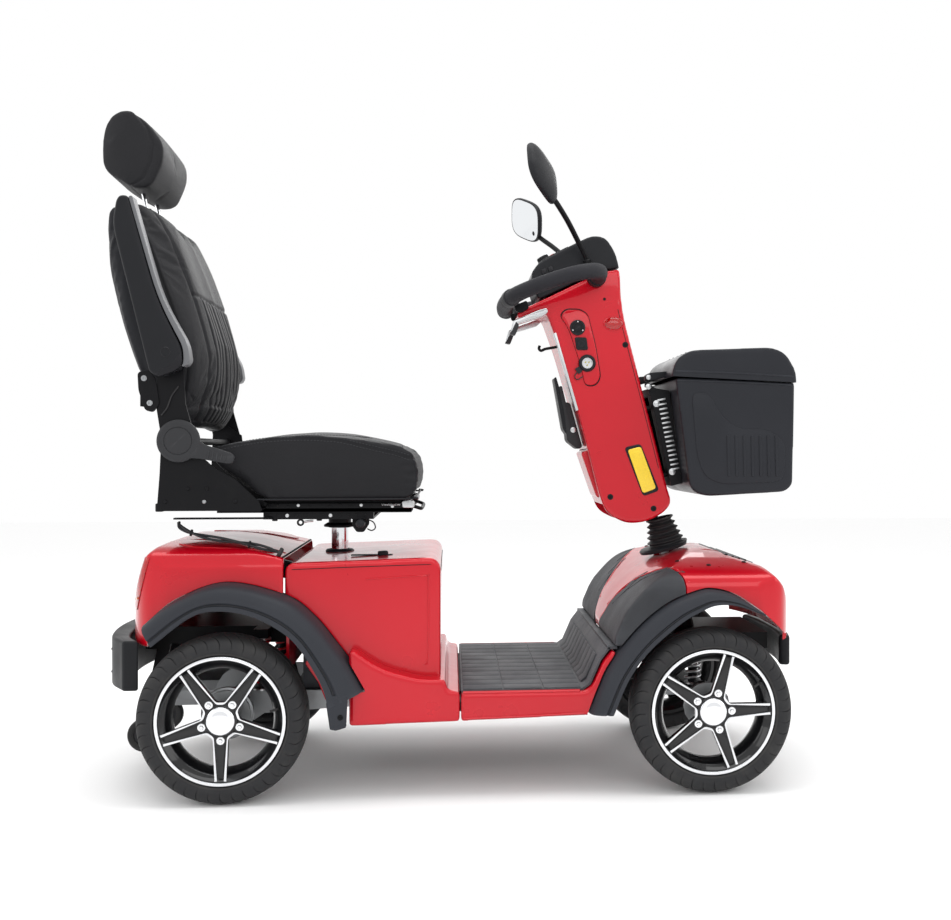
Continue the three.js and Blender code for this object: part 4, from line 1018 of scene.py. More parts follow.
def tyre(name, node, x, side, body):
    """A tyre with curved slanting grooves from shoulder to tread, and two grooves round the middle."""
    half = [(-out, r) for out, r in TREAD]
    profile = half + [(out, r) for out, r in reversed(TREAD)]
    pitch = 2 * math.pi / BLOCKS
    columns = [(-1.5, 0), (-1.0, 1), (1.0, 1), (1.5, 0), (9.4, 0), (18.8, 0)]
    verts = []
    for out, r in profile:
        reach = abs(out)
        along = max(0.0, min(1.0, (reach - 11) / 34.9)) ** 1.5
        if r < 158:
            along = 1 + (158 - r) * 0.012
        lean = 0.16 * (1 - along) ** 1.15 if along < 1 else 0.0
        groove = 2.6 if 12.2 < reach and r > 154 else (1.1 if 12.2 < reach and r > 149 else 0.0)
        ring_groove = 2.4 if 9.3 < reach < 12 else 0.0
        for k in range(BLOCKS):
            shallow = 0.55 if k % 2 and r < 166 else 1.0
            for offset, deep in columns:
                angle = k * pitch + offset / 180 + lean * (1 if out > 0 else 1.0)
                sink = max(ring_groove, groove * deep * shallow)
                size = r - sink
                sideways = math.copysign(reach - sink * 0.45 * (reach > 38), out)
                verts.append(at(x + size * math.cos(angle), side * (WHEEL_Y + sideways),
                                AXLE_Z + size * math.sin(angle)))
    count = BLOCKS * len(columns)
    rows = len(profile)
    faces = [(a * count + i, a * count + (i + 1) % count, ((a + 1) % rows) * count + (i + 1) % count,
              ((a + 1) % rows) * count + i) for a in range(rows) for i in range(count)]
    carcass = painted(make(name, verts, faces), TYRE)
    rim_rib = lathe([(139.4, 41.2), (141.2, 42.6), (143.6, 43.4), (143.6, 42.0), (141, 40.6)],
                    (x, side * WHEEL_Y, AXLE_Z), (0, side, 0), 96, closed=True)
    return piece(name, [carcass, painted(rim_rib, TYRE)], body, "tyre", 34, [node])


def polar(x, radius, degrees):
    angle = math.radians(degrees)
    return (x + radius * math.cos(angle), AXLE_Z + radius * math.sin(angle))


def spoke_gap(x, middle, grow):
    """The window between two spokes: an arc at the rim, straight sides and a flat-bottomed V at the hub."""
    far, near = 36 - math.degrees((12.4 - grow) / 129), 129.5
    outline = [polar(x, near, middle - far + 2 * far * k / 12) for k in range(13)]
    hub = 41 - grow * 0.9
    flat = math.degrees(9.5 / 41)
    return outline + [polar(x, hub, middle + flat), polar(x, hub, middle - flat)]


def rim(name, node, x, side, first, body):
    w = (x, side * WHEEL_Y, AXLE_Z)
    out = (0, side, 0)
    parts = []
    barrel = lathe([(130, 41.8), (136, 41.8), (136.4, 37.5), (129.4, 34), (126, 26), (124, 10),
                    (124, -26), (130, -35),
                    (136, -38), (136, -41.5), (128, -41.5), (121, -34), (112, -24), (107, -4), (107, 12),
                    (114, 24),
                    (119, 31), (127, 36.5), (128.6, 40.4)], w, out, 96, closed=True)
    parts.append(painted(barrel, RIM_BLACK))
    lip = lathe([(129.6, 39.5), (129.9, 41.9), (131, 42.4), (135, 42.4), (136.2, 41.9), (136.4, 39.5)],
                w, out, 120, closed=True)
    parts.append(painted(lip, MACHINED))
    face = [polar(x, 127.5, k * 4) for k in range(90)]
    disc_plate = prism(face, *sorted((side * (WHEEL_Y + 22), side * (WHEEL_Y + 34))))
    windows = []
    for k in range(5):
        middle = first + 36 + 72 * k
        windows.append(prism(rounded(spoke_gap(x, middle, 0), 5, 4),
                             *sorted((side * (WHEEL_Y + 10), side * (WHEEL_Y + 50)))))
    disc_plate = cut(disc_plate, *windows)
    parts.append(painted(bevel(disc_plate, 1.6, 3, 40), RIM_BLACK))
    for k in range(5):
        middle = first + 36 + 72 * k
        inner = rounded(spoke_gap(x, middle, 0.4), 5, 4)
        outer = rounded(spoke_gap(x, middle, 5.6), 5, 4)
        cutter = prism(inner, *sorted((side * (WHEEL_Y + 20), side * (WHEEL_Y + 60))))
        strip = cut(prism(outer, *sorted((side * (WHEEL_Y + 30), side * (WHEEL_Y + 37.6)))), cutter)
        keep = prism([polar(x, 128.6, a * 4) for a in range(90)],
                     *sorted((side * (WHEEL_Y + 20), side * (WHEEL_Y + 60))))
        rim_bits = meet(strip, keep)
        parts.append(painted(bevel(rim_bits, 0.8, 2, 40), MACHINED))
        spoke = first + 72 * k
        ridge = []
        for r0, wide in ((46, 9.5), (84, 7.6), (122, 5.8)):
            a = math.degrees(wide / r0)
            ridge.append((polar(x, r0, spoke - a), polar(x, r0, spoke + a)))
        crown = [p for p, _ in ridge] + [q for _, q in reversed(ridge)]
        parts.append(painted(bevel(prism(crown, *sorted((side * (WHEEL_Y + 32), side * (WHEEL_Y + 36)))),
                                   1.8, 3, 40), RIM_BLACK))
        bx, bz = polar(x, 41.5, spoke)
        dish = lathe([(0.01, 35), (8.4, 35), (8.4, 36.4), (6.6, 36.8), (6.6, 37.4), (0.01, 37.4)],
                     (bx, side * WHEEL_Y, bz), out, 24)
        nut = lathe([(0.01, 36), (5.4, 36), (5.4, 39.2), (4.4, 40.8), (2.6, 41.3), (2.3, 39.8), (0.01, 39.8)],
                    (bx, side * WHEEL_Y, bz), out, 6)
        parts += [painted(dish, CHROME), painted(nut, CHROME)]
    hub = lathe([(0.01, 0), (33, 0), (36, 22), (36, 34), (33.5, 37), (31, 38), (0.01, 38)], w, out, 48)
    bore = lathe([(0.01, -10), (9.2, -10), (9.2, 26), (0.01, 26)], w, out, 24)
    parts.append(painted(cut(hub, bore), RIM_BLACK))
    cap = lathe([(29.4, 37.4), (29.4, 39.6), (28, 41.2), (26.6, 41.6), (25.6, 41.2), (20, 42.6),
                 (12, 43.4), (0.01, 43.8),
                 (0.01, 37.4)], w, out, 64)
    parts.append(painted(cap, CHROME))
    vx, vz = polar(x, 121, first + 29)
    valve = tube([(vx, side * (WHEEL_Y + 34), vz), (vx - (vx - x) * 0.05, side * (WHEEL_Y + 39),
                                                    vz - (vz - AXLE_Z) * 0.05),
                  (vx - (vx - x) * 0.13, side * (WHEEL_Y + 42), vz - (vz - AXLE_Z) * 0.13)], 2.6, 12, 3)
    parts.append(painted(valve, BOOT))
    return piece(name, parts, body, "rim_alloy", 40, [node])


for word, side in SIDES:
    tyre(f"rear_tread_{word}", f"rear_tyre_{word}", 0, side, f"rear_wheel_{word}")
    tyre(f"front_tread_{word}", f"front_tyre_{word}", WHEELBASE, side, f"front_wheel_{word}")
    rim(f"rear_wheel_disc_{word}", f"rear_rim_{word}", 0, side, -18, f"rear_wheel_{word}")
    rim(f"front_wheel_disc_{word}", f"front_rim_{word}", WHEELBASE, side, 2, f"front_wheel_{word}")


# ---- steering column: bellows --------------------------------------------------------------------
LEAN = math.radians(15)
COLUMN = (-math.sin(LEAN), 0, math.cos(LEAN))


folds = []
for k in range(49):
    s = k / 48
    radius = 49 + (33 - 49) * s
    wave = 0.5 - 0.5 * math.cos(2 * math.pi * 5 * s)
    folds.append((radius - 7.5 * wave ** 0.7, 66 * s))
skin_folds = [(52, 0), (52, 3), *[(r, max(h, 3)) for r, h in folds[2:-1]], (34, 66), (34, 69)]
bellows = lathe([*skin_folds, *[(r - 2.6, h) for r, h in reversed(skin_folds)]], (1014, 0, 518), COLUMN,
                64, closed=True)
dress(bellows, BOOT, slot="boot_rubber", smooth=50).name = "column_bellows"
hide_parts("steering_bellows")
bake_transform(bellows)

# ---- tiller --------------------------------------------------------------------------------------
TILLER = [(640, 1061, 6), (700, 1081, 8), (712, 1070, 8), (742, 988, 30), (796, 800, 60), (837, 640, 20),
          (854, 600, 18),
          (904, 574, 30), (957, 582, 30), (994, 604, 16), (1011, 626, 16), (1001, 656, 12), (924, 954, 60),
          (890, 1085, 60), (885, 1182, 3), (842, 1176, 3), (642, 1079, 6)]
shell = soften(prism(rounded(TILLER, 10, 6), -85, 85), 4, 10)
pocket_bump = soften(prism(rounded([(794, 748), (828, 752), (858, 640), (834, 634)], 10), -56, 56), 3.5, 6)
hollow = prism([(720, 1084), (750, 994), (802, 806), (842, 650), (866, 400), (1060, 400), (1001, 632),
                (918, 950),
                (884, 1084), (879, 1250), (838, 1250)], -78, 78)
stud_holes = []
for _, side in SIDES:
    stud_holes.append(tube([(910, side * 60, 839.6), (972, side * 60, 855.6)], 7, 20, 1))
    stud_holes.append(tube([(950, side * 60, 680.2), (1016, side * 60, 696.6)], 7, 20, 1))
shell = cut(unite(shell, pocket_bump), hollow, *stud_holes)
shell_parts = [painted(shell, RED)]
# A fine seam down the front of the column.
front_seam = [(905, 0, 1030), (926, 0, 952), (962, 0, 812), (1000, 0, 662)]
shell_parts.append(bead([(x + 0.4, y, z) for x, y, z in front_seam], 2.2, DARK))


def side_panel(outline, low, high, material, side=-1, corner=8, edge=2.0):
    """A flat trim piece on the tiller's side; low and high are measured out from the middle plane."""
    return painted(plate(outline, (low, high), side, edge, corner), material)


for word, side in SIDES:
    # The recessed frame and the raised red accessory panel near the top of the side.
    gap_line = [(742, 1068), (762, 1040), (786, 968), (801, 905), (826, 905), (838, 925), (826, 1000),
                (808, 1072), (790, 1084),
                (756, 1084)]
    grown = [(x + (x - 792) * 0.05, z + (z - 990) * 0.03) for x, z in gap_line]
    shell_parts.append(side_panel(grown, 83.5, 85.9, DARK, side, 16, 0.6))
    shell_parts.append(side_panel(gap_line, 84, 89.5, RED, side, 16, 3.0))
    # The reflector in its frame.
    tilt = [(903, 752), (935, 760), (972, 660), (940, 648)]
    frame_outline = [(x + (x - 937) * 0.22, z + (z - 705) * 0.12) for x, z in tilt]
    shell_parts.append(side_panel(frame_outline, 84.2, 87.0, GLOSS, side, 9, 0.8))
    shell_parts.append(side_panel(tilt, 85, 88.6, YELLOW, side, 7, 1.2))
    # The oval side lamp and a small vent hole.
    lamp = lathe([(0.01, 0), (17, 0), (18, 1.4), (15, 4), (8, 5.8), (0.01, 6.2)],
                 (870, side * 84.6, 1052), (0, side, 0), 36)
    for vertex in lamp.data.vertices:
        local = vertex.co - at(870, 0, 1052)
        vertex.co.x = at(870, 0, 1052).x + local.x * 1.25
        vertex.co.z = at(870, 0, 1052).z + local.z * 0.82
    lamp_rim = lathe([(17, 0), (20.5, 0), (20, 2.0), (18, 2.4), (17, 1.4)], (870, side * 84.6, 1052),
                     (0, side, 0), 36, closed=True)
    for vertex in lamp_rim.data.vertices:
        local = vertex.co - at(870, 0, 1052)
        vertex.co.x = at(870, 0, 1052).x + local.x * 1.25
        vertex.co.z = at(870, 0, 1052).z + local.z * 0.82
    shell_parts += [painted(lamp, TAIL), painted(lamp_rim, RED)]
    # The vent hole is not cut: a flat dark disc is painted shade where the hole would be.
    hole = disc((848, side * 84.4, 1110), (0, side, 0), 3.6, 1.3, 0.4, 20)
    shell_parts.append(painted(hole, DARK))
    # The moulding seam down the side, and its screws.
    seam_points = [(894, 1086), (920, 985), (958, 840), (992, 708)]
    shell_parts.append(bead([(x - 14, side * 85.0, z) for x, z in seam_points], 1.5, DARK))
    # Each screw sits in a flush dark ring: painted shade of the recess round it.
    for x, z in ((862, 640), (966, 612), (898, 1002)):
        cup = lathe([(3, 0.6), (7, 0.6), (7, -0.4), (3, -0.4)], (x, side * 85, z), (0, side, 0), 24,
                    closed=True)
        shell_parts.append(painted(cup, DARK))
        shell_parts.append(painted(bolt((x, side * 84.8, z), (0, side, 0), 3.2, 1.4, "socket"), STEEL_BLACK))
# Right side: the round buzzer, a square outlet and the charging socket.
buzzer = lathe([(0.01, 0), (17, 0), (18.5, 2), (18, 6), (14, 8), (12.5, 6.4), (6, 6.2), (4, 7.6), (0.01, 8)],
               (783, -89.4, 1041), (0, -1, 0), 40)
shell_parts.append(painted(buzzer, BLACK))
for k in range(3):
    angle = math.radians(90 + 120 * k)
    spot = (783 + 13.5 * math.cos(angle), -96.6, 1041 + 13.5 * math.sin(angle))
    shell_parts.append(painted(bolt(spot, (0, -1, 0), 2.0, 1.2, "dome"), ZINC))
outlet = plate([(776, 1018), (804, 1018), (808, 988), (780, 988)], (89, 95), -1, 1.2, 5)
outlet_eye = lathe([(4, 6.4), (9.5, 6.4), (10.5, 5), (10.5, 0), (4, 0)], (792, -89.2, 1003), (0, -1, 0),
                   32, closed=True)
shell_parts += [painted(outlet, BLACK), painted(outlet_eye, GLOSS)]
# The buzzer's sound holes are flush dark discs: painted shade, no holes are cut.
for k in range(16):
    angle = 2 * math.pi * k / 16
    spot = (783 + 9.3 * math.cos(angle), -96.0, 1041 + 9.3 * math.sin(angle))
    shell_parts.append(painted(disc(spot, (0, -1, 0), 1.0, 0.9, 0.3, 10), DARK))
socket_ring = lathe([(12.5, 0), (20, 0), (20.5, 3), (18, 6.5), (14, 7), (12.5, 5)], (806, -89.2, 957),
                    (0, -1, 0), 48, closed=True)
socket_cup = lathe([(0.01, 0), (12.6, 0), (12.6, 5.4), (11.2, 5.4), (10.6, 1.6), (0.01, 1.4)],
                   (806, -89.2, 957), (0, -1, 0), 40)
shell_parts += [painted(socket_ring, BLACK), painted(socket_cup, ZINC)]
for dx, dz in ((-4, 2.4), (4, 2.4), (0, -4.4)):
    pin = lathe([(0.01, 1), (1.7, 1), (1.7, 4.8), (1.0, 5.6), (0.01, 5.6)], (806 + dx, -89.2, 957 + dz),
                (0, -1, 0), 16)
    shell_parts.append(painted(pin, GREEN_PIN))
tether = plate([(776, 944), (788, 950), (796, 940), (786, 930)], (89, 91.5), -1, 0.8, 4)
shell_parts.append(painted(tether, BOOT))
shell_parts.append(bead([(782, -91, 936), (776, -92, 926), (782, -92.5, 918), (796, -91.5, 926)], 2.6, BOOT))
# The grey strip along the tiller's rear edge, and the bag hook.
strip = [(727, 1028), (733, 1030), (786, 846), (780, 844)]
shell_parts.append(side_panel(strip, 62, 84.6, ZINC, -1, 2, 0.8))
hook = [(744, 46, 1000), (728, 46, 997), (712, 46, 994), (702, 46, 990), (697, 46, 995), (699, 46, 1002)]
shell_parts.append(painted(tube([(x - 2, -y, z) for x, y, z in hook], 3.4, 16, 6), STEEL_BLACK))
shell_parts.append(painted(disc((742, -46, 1000), (-0.95, 0, -0.3), 9, 4, 1.2, 28), BLACK))
# The rear pocket's mouth line: a dark bead of painted shade where the opening would be.
shell_parts.append(bead([(792, -50, 751), (809, -50, 754), (826, -50, 755)], 2.2, DARK))
piece("tiller_cover", shell_parts, "tiller", "red_paint", 40, ["tiller_shell"])

repaint("tiller_frame", STEEL_BLACK)
repaint("steering_shaft", ZINC)

# Bracket rails behind the box: ribbed silver channels with bolts.
rail_parts = []
for _, side in SIDES:
    a, b = (984, 878), (1022, 690)
    direction = Vector((b[0] - a[0], b[1] - a[1])).normalized()
    for k in range(16):
        spot = Vector(a) + direction * (8 + k * 11.2)
        rail_parts.append(painted(plate([(spot.x - 12, spot.y + 1.5), (spot.x + 8, spot.y + 5.2),
                                         (spot.x + 8.8, spot.y + 1.4),
                                         (spot.x - 11.2, spot.y - 2.3)], (90.1, 92.6), side, 0.4), ZINC))
    for x, z in ((972, 862), (1010, 700)):
        rail_parts.append(painted(bolt((x, side * 90.4, z), (0, side, 0), 6, 4.5, "hex"), ZINC))
    rail_parts.append(painted(bolt((952, side * 92.2, 902), (0, side, 0), 5, 3.5, "hex"), ZINC))
piece("box_rails", rail_parts, "tiller", "bright_steel", 30)

# ---- dash, handlebar and controls ----------------------------------------------------------------
DASH = [(676, 1151, 8), (674, 1171, 8), (692, 1197, 14), (775, 1242, 30), (820, 1263, 26),
        (852, 1259, 20), (876, 1223, 20),
        (885, 1185.4, 2), (842, 1179.4, 2), (690, 1107.4, 10)]
dash = soften(prism(rounded(DASH, 8, 6), -80, 80), 3.5, 8)
dash_parts = [painted(dash, BLACK)]
NORMAL = (-0.476, 0, 0.879)


def on_dash(s, y, lift=0.0):
    """A point on the dash's sloping face: s millimetres up the slope from its lower edge."""
    return (696 + 0.879 * s + NORMAL[0] * lift, y, 1199.5 + 0.476 * s + NORMAL[2] * lift)


def dash_plate(s0, s1, y0, y1, low, high, material, corner=4, edge=0.8):
    outline = rounded([(s0, y0), (s1, y0), (s1, y1), (s0, y1)], corner)
    verts = [at(*on_dash(s, y, h)) for h in (low, high) for s, y in outline]
    count = len(outline)
    faces = [tuple(range(count)), tuple(range(2 * count - 1, count - 1, -1))]
    faces += [(i, (i + 1) % count, (i + 1) % count + count, i + count) for i in range(count)]
    return painted(bevel(make("dash_plate", verts, faces), edge, 2), material)


dash_parts.append(dash_plate(4, 78, -72, 72, -2, 1.4, GLOSS, 12))
dash_parts.append(dash_plate(44, 74, -28, 28, 0, 2.6, GREY, 6))
dash_parts.append(dash_plate(47, 71, -25, 25, 1.4, 3.2, GLOSS, 4))
for k in range(8):
    dash_parts.append(dash_plate(62, 66, -22 + k * 5.6, -18.4 + k * 5.6, 2.4, 3.5, AMBER if k < 2
                                 else WHITE_LAMP, 0.8, 0.3))
for s, y, material in ((18, -56, GREY), (18, -40, GREY), (34, -56, TAIL), (34, -40, AMBER),
                       (18, 62, GREY), (34, 62, GREY)):
    dash_parts.append(dash_plate(s - 6, s + 6, y - 6, y + 6, 0, 3.6, material, 2.4, 1.0))
for k in range(13):
    angle = math.radians(-130 + k * 260 / 12)
    s, y = 20.5 + 22 * math.cos(angle), 22 * math.sin(angle)
    tick = disc(on_dash(s, y, 1.2), NORMAL, 1.1, 0.6, 0.2, 10)
    dash_parts.append(painted(tick, PALE))
key_ring = lathe([(10, 0), (13, 0), (13, 1.4), (10, 2.2)], on_dash(36.5, 42, 1.2), NORMAL, 32, closed=True)
dash_parts.append(painted(key_ring, CHROME))
lamp_rim = soften(prism(rounded([(822, 1262), (850, 1259), (864, 1240), (846, 1236), (824, 1248)], 6),
                        -30, 30), 3, 4)
lamp_face = soften(prism(rounded([(826, 1264), (851, 1261), (867, 1240), (850, 1238), (828, 1250)], 6),
                         -26, 26), 2.6, 4)
dash_parts += [painted(lamp_rim, GLOSS), painted(lamp_face, WHITE_LAMP)]
for _, side in SIDES:
    # The mirror sockets, the rocker switches on the near face, and the cowl's ridge.
    socket = lathe([(8, 0), (14, 0), (14, 8), (11, 14), (8, 16)], (807, side * 92, 1180),
                   (0, side * 0.35, 0.94), 28, closed=True)
    dash_parts.append(painted(socket, BLACK))
    arm = plate([(790, 1170), (826, 1178), (826, 1186), (800, 1192), (786, 1184)], (76, 98), side, 3, 6)
    dash_parts.append(painted(arm, BLACK))
    for x, z in ((700, 1166), (716, 1172)):
        rocker = plate([(x, z), (x + 11, z + 5), (x + 8, z + 17), (x - 3, z + 12)], (78, 83), side, 1.4, 2)
        dash_parts.append(painted(rocker, GLOSS))
piece("dash_top", dash_parts, "tiller", "black_plastic", 40, ["dash_pod"])

BAR = [(828, -87.5, 1157), (829, -120, 1160), (824, -165, 1161), (800, -214, 1155), (760, -238, 1145),
       (716, -232, 1133),
       (674, -204, 1121), (640, -160, 1111), (622, -108, 1105), (617, -50, 1103), (616, 0, 1103)]
full_bar = BAR + [(x, -y, z) for x, y, z in reversed(BAR[:-1])]
bar_parts = [painted(tube(full_bar, lambda t: 18.6 + 1.2 * math.cos(2 * math.pi * 2 * t), 28, 10), GRIP)]
for _, side in SIDES:
    ferrule = tube([(826, side * 87.8, 1157), (827.5, side * 96, 1158), (828.5, side * 108, 1159)], 21.5,
                   32, 3)
    bar_parts.append(painted(bevel(ferrule, 1.5, 3, 50), BLACK))
    band = tube([(626, side * 124, 1106.6), (623, side * 112, 1105.4), (621, side * 102, 1104.6)], 20.9,
                32, 3)
    bar_parts.append(painted(bevel(band, 1.2, 2, 50), GREY))
    clamp = plate([(634, 1092), (662, 1104), (668, 1086), (650, 1074), (636, 1078)], (88, 93), side, 1, 4)
    bar_parts.append(painted(clamp, STEEL_BLACK))
piece("grip_bar", bar_parts, "tiller", "black_plastic", 40, ["handlebar"])

for word, side in SIDES:
    outline = [(708, 1084), (711, 1074), (700, 1065), (640, 1047), (632, 1026), (623, 1027), (629, 1053),
               (690, 1079)]
    lever = bevel(prism(rounded(outline, 4), *sorted((side * 95, side * 117))), 2.2, 3, 40)
    cap = bevel(prism(rounded([(636, 1052), (626, 1030), (620, 1022), (634, 1019), (643, 1042)], 4),
                      *sorted((side * 94.2, side * 117.8))), 2.4, 3, 40)
    piece(f"lever_{word}", [painted(lever, ZINC), painted(cap, GREY)], f"drive_lever_{word}",
          "bright_steel", 40,
          [f"drive_lever_{word}"])

    # Mirrors: a stem with a lock nut and a ball, a shell and its glass.
    stem = tube([(806, side * 97, 1186), (802, side * 100, 1206), (780, side * 122, 1240),
                 (752, side * 165, 1276),
                 (724, side * 205, 1306), (712, side * 214, 1318)], 6.2, 20, 8)
    nut = lathe([(0.01, 0), (10.4, 0), (10.4, 9), (8, 11), (0.01, 11)], (805.4, side * 97.4, 1190),
                (-0.14, side * 0.1, 1), 6)
    ball = lathe([(0.01, -9), (5, -8), (8.6, -3), (9.2, 1), (7.6, 6), (4, 8.8), (0.01, 9.6)],
                 (708, side * 218, 1324),
                 (-0.5, side * 0.4, 0.75), 28)
    turn = (Matrix.Rotation(math.radians(-14), 3, "Y") @ Matrix.Rotation(side * math.radians(24), 3, "Z")
            @ Matrix.Rotation(side * math.radians(28), 3, "X"))
    centre = at(690, side * 246, 1366)
    rows, count = 16, 56
    shell_rings = []
    for r in range(rows + 1):
        bulge = math.radians(90 * r / rows)
        ring = []
        for k in range(count):
            a = 2 * math.pi * k / count
            squared = 1 / (abs(math.cos(a)) ** 3.4 + abs(math.sin(a)) ** 3.4) ** (1 / 3.4)
            y, z = 71 * squared * math.cos(a) * math.cos(bulge), 53 * squared * math.sin(a) * math.cos(bulge)
            ring.append(centre + turn @ Vector((-6 + 23 * math.sin(bulge), y, z)) * MM)
        shell_rings.append(ring)
    rim_ring = [centre
                + turn @ (Vector((-10, 0, 0)) + (turn.transposed() @ ((p - centre) / MM) - Vector((-6, 0,
                        0))) * 0.985) * MM
                for p in shell_rings[0]]
    back = loft([rim_ring, *shell_rings], name="mirror_back")
    glass_ring = [[centre + turn @ Vector((-10.4 - d, (turn.transposed() @ ((p - centre) / MM)).y * s,
                                           (turn.transposed() @ ((p - centre) / MM)).z * s)) * MM
                                           for p in shell_rings[0]]
                  for d, s in ((-3, 0.93), (0.6, 0.93), (1.2, 0.9))]
    glass = loft(glass_ring, name="glass")
    piece(f"mirror_head_{word}", [painted(stem, STEEL_BLACK), painted(nut, STEEL_BLACK), painted(ball, BLACK),
                                  painted(back, BLACK), painted(glass, MIRROR)], f"mirror_{word}",
                                  "black_plastic", 40,
          [f"mirror_{word}"])


def dial_point(lift):
    return (714 + NORMAL[0] * lift, 0, 1209.5 + NORMAL[2] * lift)


dial_base = lathe([(0.01, 0), (17, 0), (17, 3), (15.6, 4.4), (0.01, 4.4)], dial_point(2.4), NORMAL, 48)
knurl = []
for r, h in ((14.6, 4), (14.2, 12), (12.6, 14), (0.01, 14.4)):
    knurl.append([at(*dial_point(2.4 + h)) + frame_of(NORMAL) @ Vector((
        (r + (0.8 if k % 2 else 0) * (r > 1)) * math.cos(2 * math.pi * k / 48),
        (r + (0.8 if k % 2 else 0) * (r > 1)) * math.sin(2 * math.pi * k / 48), 0)) * MM for k in range(48)])
dial = loft(knurl)
pointer = block((712.4 - 8, 714.6 - 8), (-1.2, 1.2), (1224.6, 1227.4), 0.4)
for vertex in pointer.data.vertices:
    vertex.co += Vector((2.0, 0, -3.4)) * MM
piece("dial", [painted(dial_base, GREY), painted(dial, BLACK), painted(pointer, PALE)], "speed_dial",
      "black_plastic", 30,
      ["speed_dial"])
key_at = (728, 42, 1217)
key_barrel = lathe([(0.01, 1), (8.4, 1), (8.8, 3), (8, 4.6), (3.2, 4.8), (3.0, 12), (0.01, 12)], key_at,
                   NORMAL, 32)
key_bow = bevel(prism(rounded([(719.5, 1226), (715, 1234), (717.6, 1243), (724, 1240), (728, 1232),
                               (724.8, 1226)], 3), 40.6, 43.4), 0.7, 2)
for vertex in key_bow.data.vertices:
    vertex.co += Vector((0.5, 0, -1.0)) * MM
piece("key", [painted(key_barrel, CHROME), painted(key_bow, CHROME)], "ignition_key", "chrome", 40,
      ["ignition_key"])

# ---- phone holder, front box ---------------------------------------------------------------------
cradle = bevel(prism(rounded([(754, 868), (772, 866), (802, 758), (790, 753), (765, 773)], 6), -33, 33),
               3, 3, 40)
clip = bevel(prism(rounded([(733, 925), (738, 929), (763, 846), (781, 781), (774, 775), (755, 801)], 4),
                   -29.5, 29.5), 2.4, 3, 40)
holder_parts = [painted(cradle, GREY), painted(clip, BLACK)]
for _, side in SIDES:
    jaw = plate([(744, 905), (752, 907), (776, 806), (766, 800)], (28, 33.5), side, 2, 4)
    holder_parts.append(painted(jaw, GREY))
for k in range(6):
    x, z = 749 + k * 3.9, 884 - k * 13
    holder_parts.append(painted(block((x - 7.4, x - 4.4), (-24, 24), (z - 2, z + 2), 0.8), GREY))
holder_parts.append(painted(bolt((779, -34, 800), (0, -1, 0), 5, 3.5, "socket"), ZINC))
piece("phone_cradle", holder_parts, "phone_holder", "grey_plastic", 40, ["phone_holder"])

BOX_OUTLINE = [(1003, 920, 4), (1036, 668, 16), (1050, 652, 14), (1078, 644, 30), (1262, 654, 24),
               (1280, 670, 22), (1285, 909, 4)]
box_outer = soften(prism(rounded(BOX_OUTLINE, 14, 6), -166, 166), 4, 10)
box_inner = prism([(1001, 960), (1006.5, 917), (1040.5, 672.5), (1080, 648), (1260, 658),
                   (1276.5, 674.5), (1281.5, 906), (1283, 960)],
                  -162.5, 162.5)
mouth = prism([(960, 1000), (960, 922.5), (1300, 907), (1300, 1000)], -200, 200)
box_parts = [painted(cut(box_outer, box_inner, mouth), BOX)]
for _, side in SIDES:
    box_parts.append(bead([(1006, side * 165.2, 913), (1140, side * 165.6, 909),
                           (1281, side * 165.2, 903)], 5, BOX))
    # The sweeping raised panel and the upright ribs on each side.
    sweep = [(1040, 884), (1052, 740), (1070, 690), (1110, 672), (1258, 678), (1262, 770), (1220, 800),
             (1150, 800), (1110, 830), (1080, 884)]
    box_parts.append(painted(plate(sweep, (164.4, 167.6), side, 1.4, 26, 3), BOX))
    for k in range(7):
        x = 1122 + k * 19
        box_parts.append(painted(plate([(x, 786), (x + 6, 786), (x + 8, 690), (x + 2, 690)],
                                       (166.6, 169.4), side, 1.2, 3), BOX))
for k in range(-3, 4):
    rib = block((1281, 1285), (k * 40 - 3, k * 40 + 3), (700, 880), 1.4)
    box_parts.append(painted(rib, BOX))
piece("luggage_box", box_parts, "tiller", "black_plastic", 40, ["front_box"])

LID = [(994, 929, 6), (1004, 962, 16), (1036, 983, 20), (1230, 991, 20), (1263, 977, 18),
       (1286, 938, 14), (1289, 912, 3)]
lid_outer = soften(prism(rounded([*LID, (1289, 890, 2), (994, 890, 2)], 10, 6), -170, 170), 4, 10)
lid_inner = prism([(998, 880), (998.5, 931), (1008.5, 960), (1037, 978.5), (1229, 986.5),
                   (1259.5, 973.5), (1281.5, 937), (1285, 880)],
                  -165.4, 165.4)
lid_cut = prism([(900, 800), (900, 926.6), (990, 922.6), (1300, 908.6), (1400, 904), (1400, 800)], -300, 300)
lid_parts = [painted(cut(lid_outer, lid_inner, lid_cut), BOX)]
for _, side in SIDES:
    lid_parts.append(bead([(1002, side * 168.6, 934), (1140, side * 169.4, 930),
                           (1280, side * 168.4, 923)], 5.5, BOX))
    lug = plate([(946, 916), (946, 930), (958, 936), (1000, 940), (1000, 927), (960, 916)], (64, 84),
                side, 2, 4)
    lid_parts.append(painted(lug, BLACK))
    lid_parts.append(painted(bolt((954, side * 84.2, 925), (0, side, 0), 4.4, 3, "hex"), ZINC))
for y in (-96, -48, 0, 48, 96):
    ridge = [(1040, y, 982.2), (1130, y, 986), (1226, y, 989.4)]
    lid_parts.append(bead([(x, yy, z - 1.6) for x, yy, z in ridge], 6, BOX))
latch = bevel(prism(rounded([(1281, 944), (1289, 936), (1290.4, 905), (1284, 905)], 2), -24, 24), 1.6, 3)
lid_parts.append(painted(latch, GLOSS))
piece("luggage_lid", lid_parts, "box_lid", "black_plastic", 40, ["box_lid"])


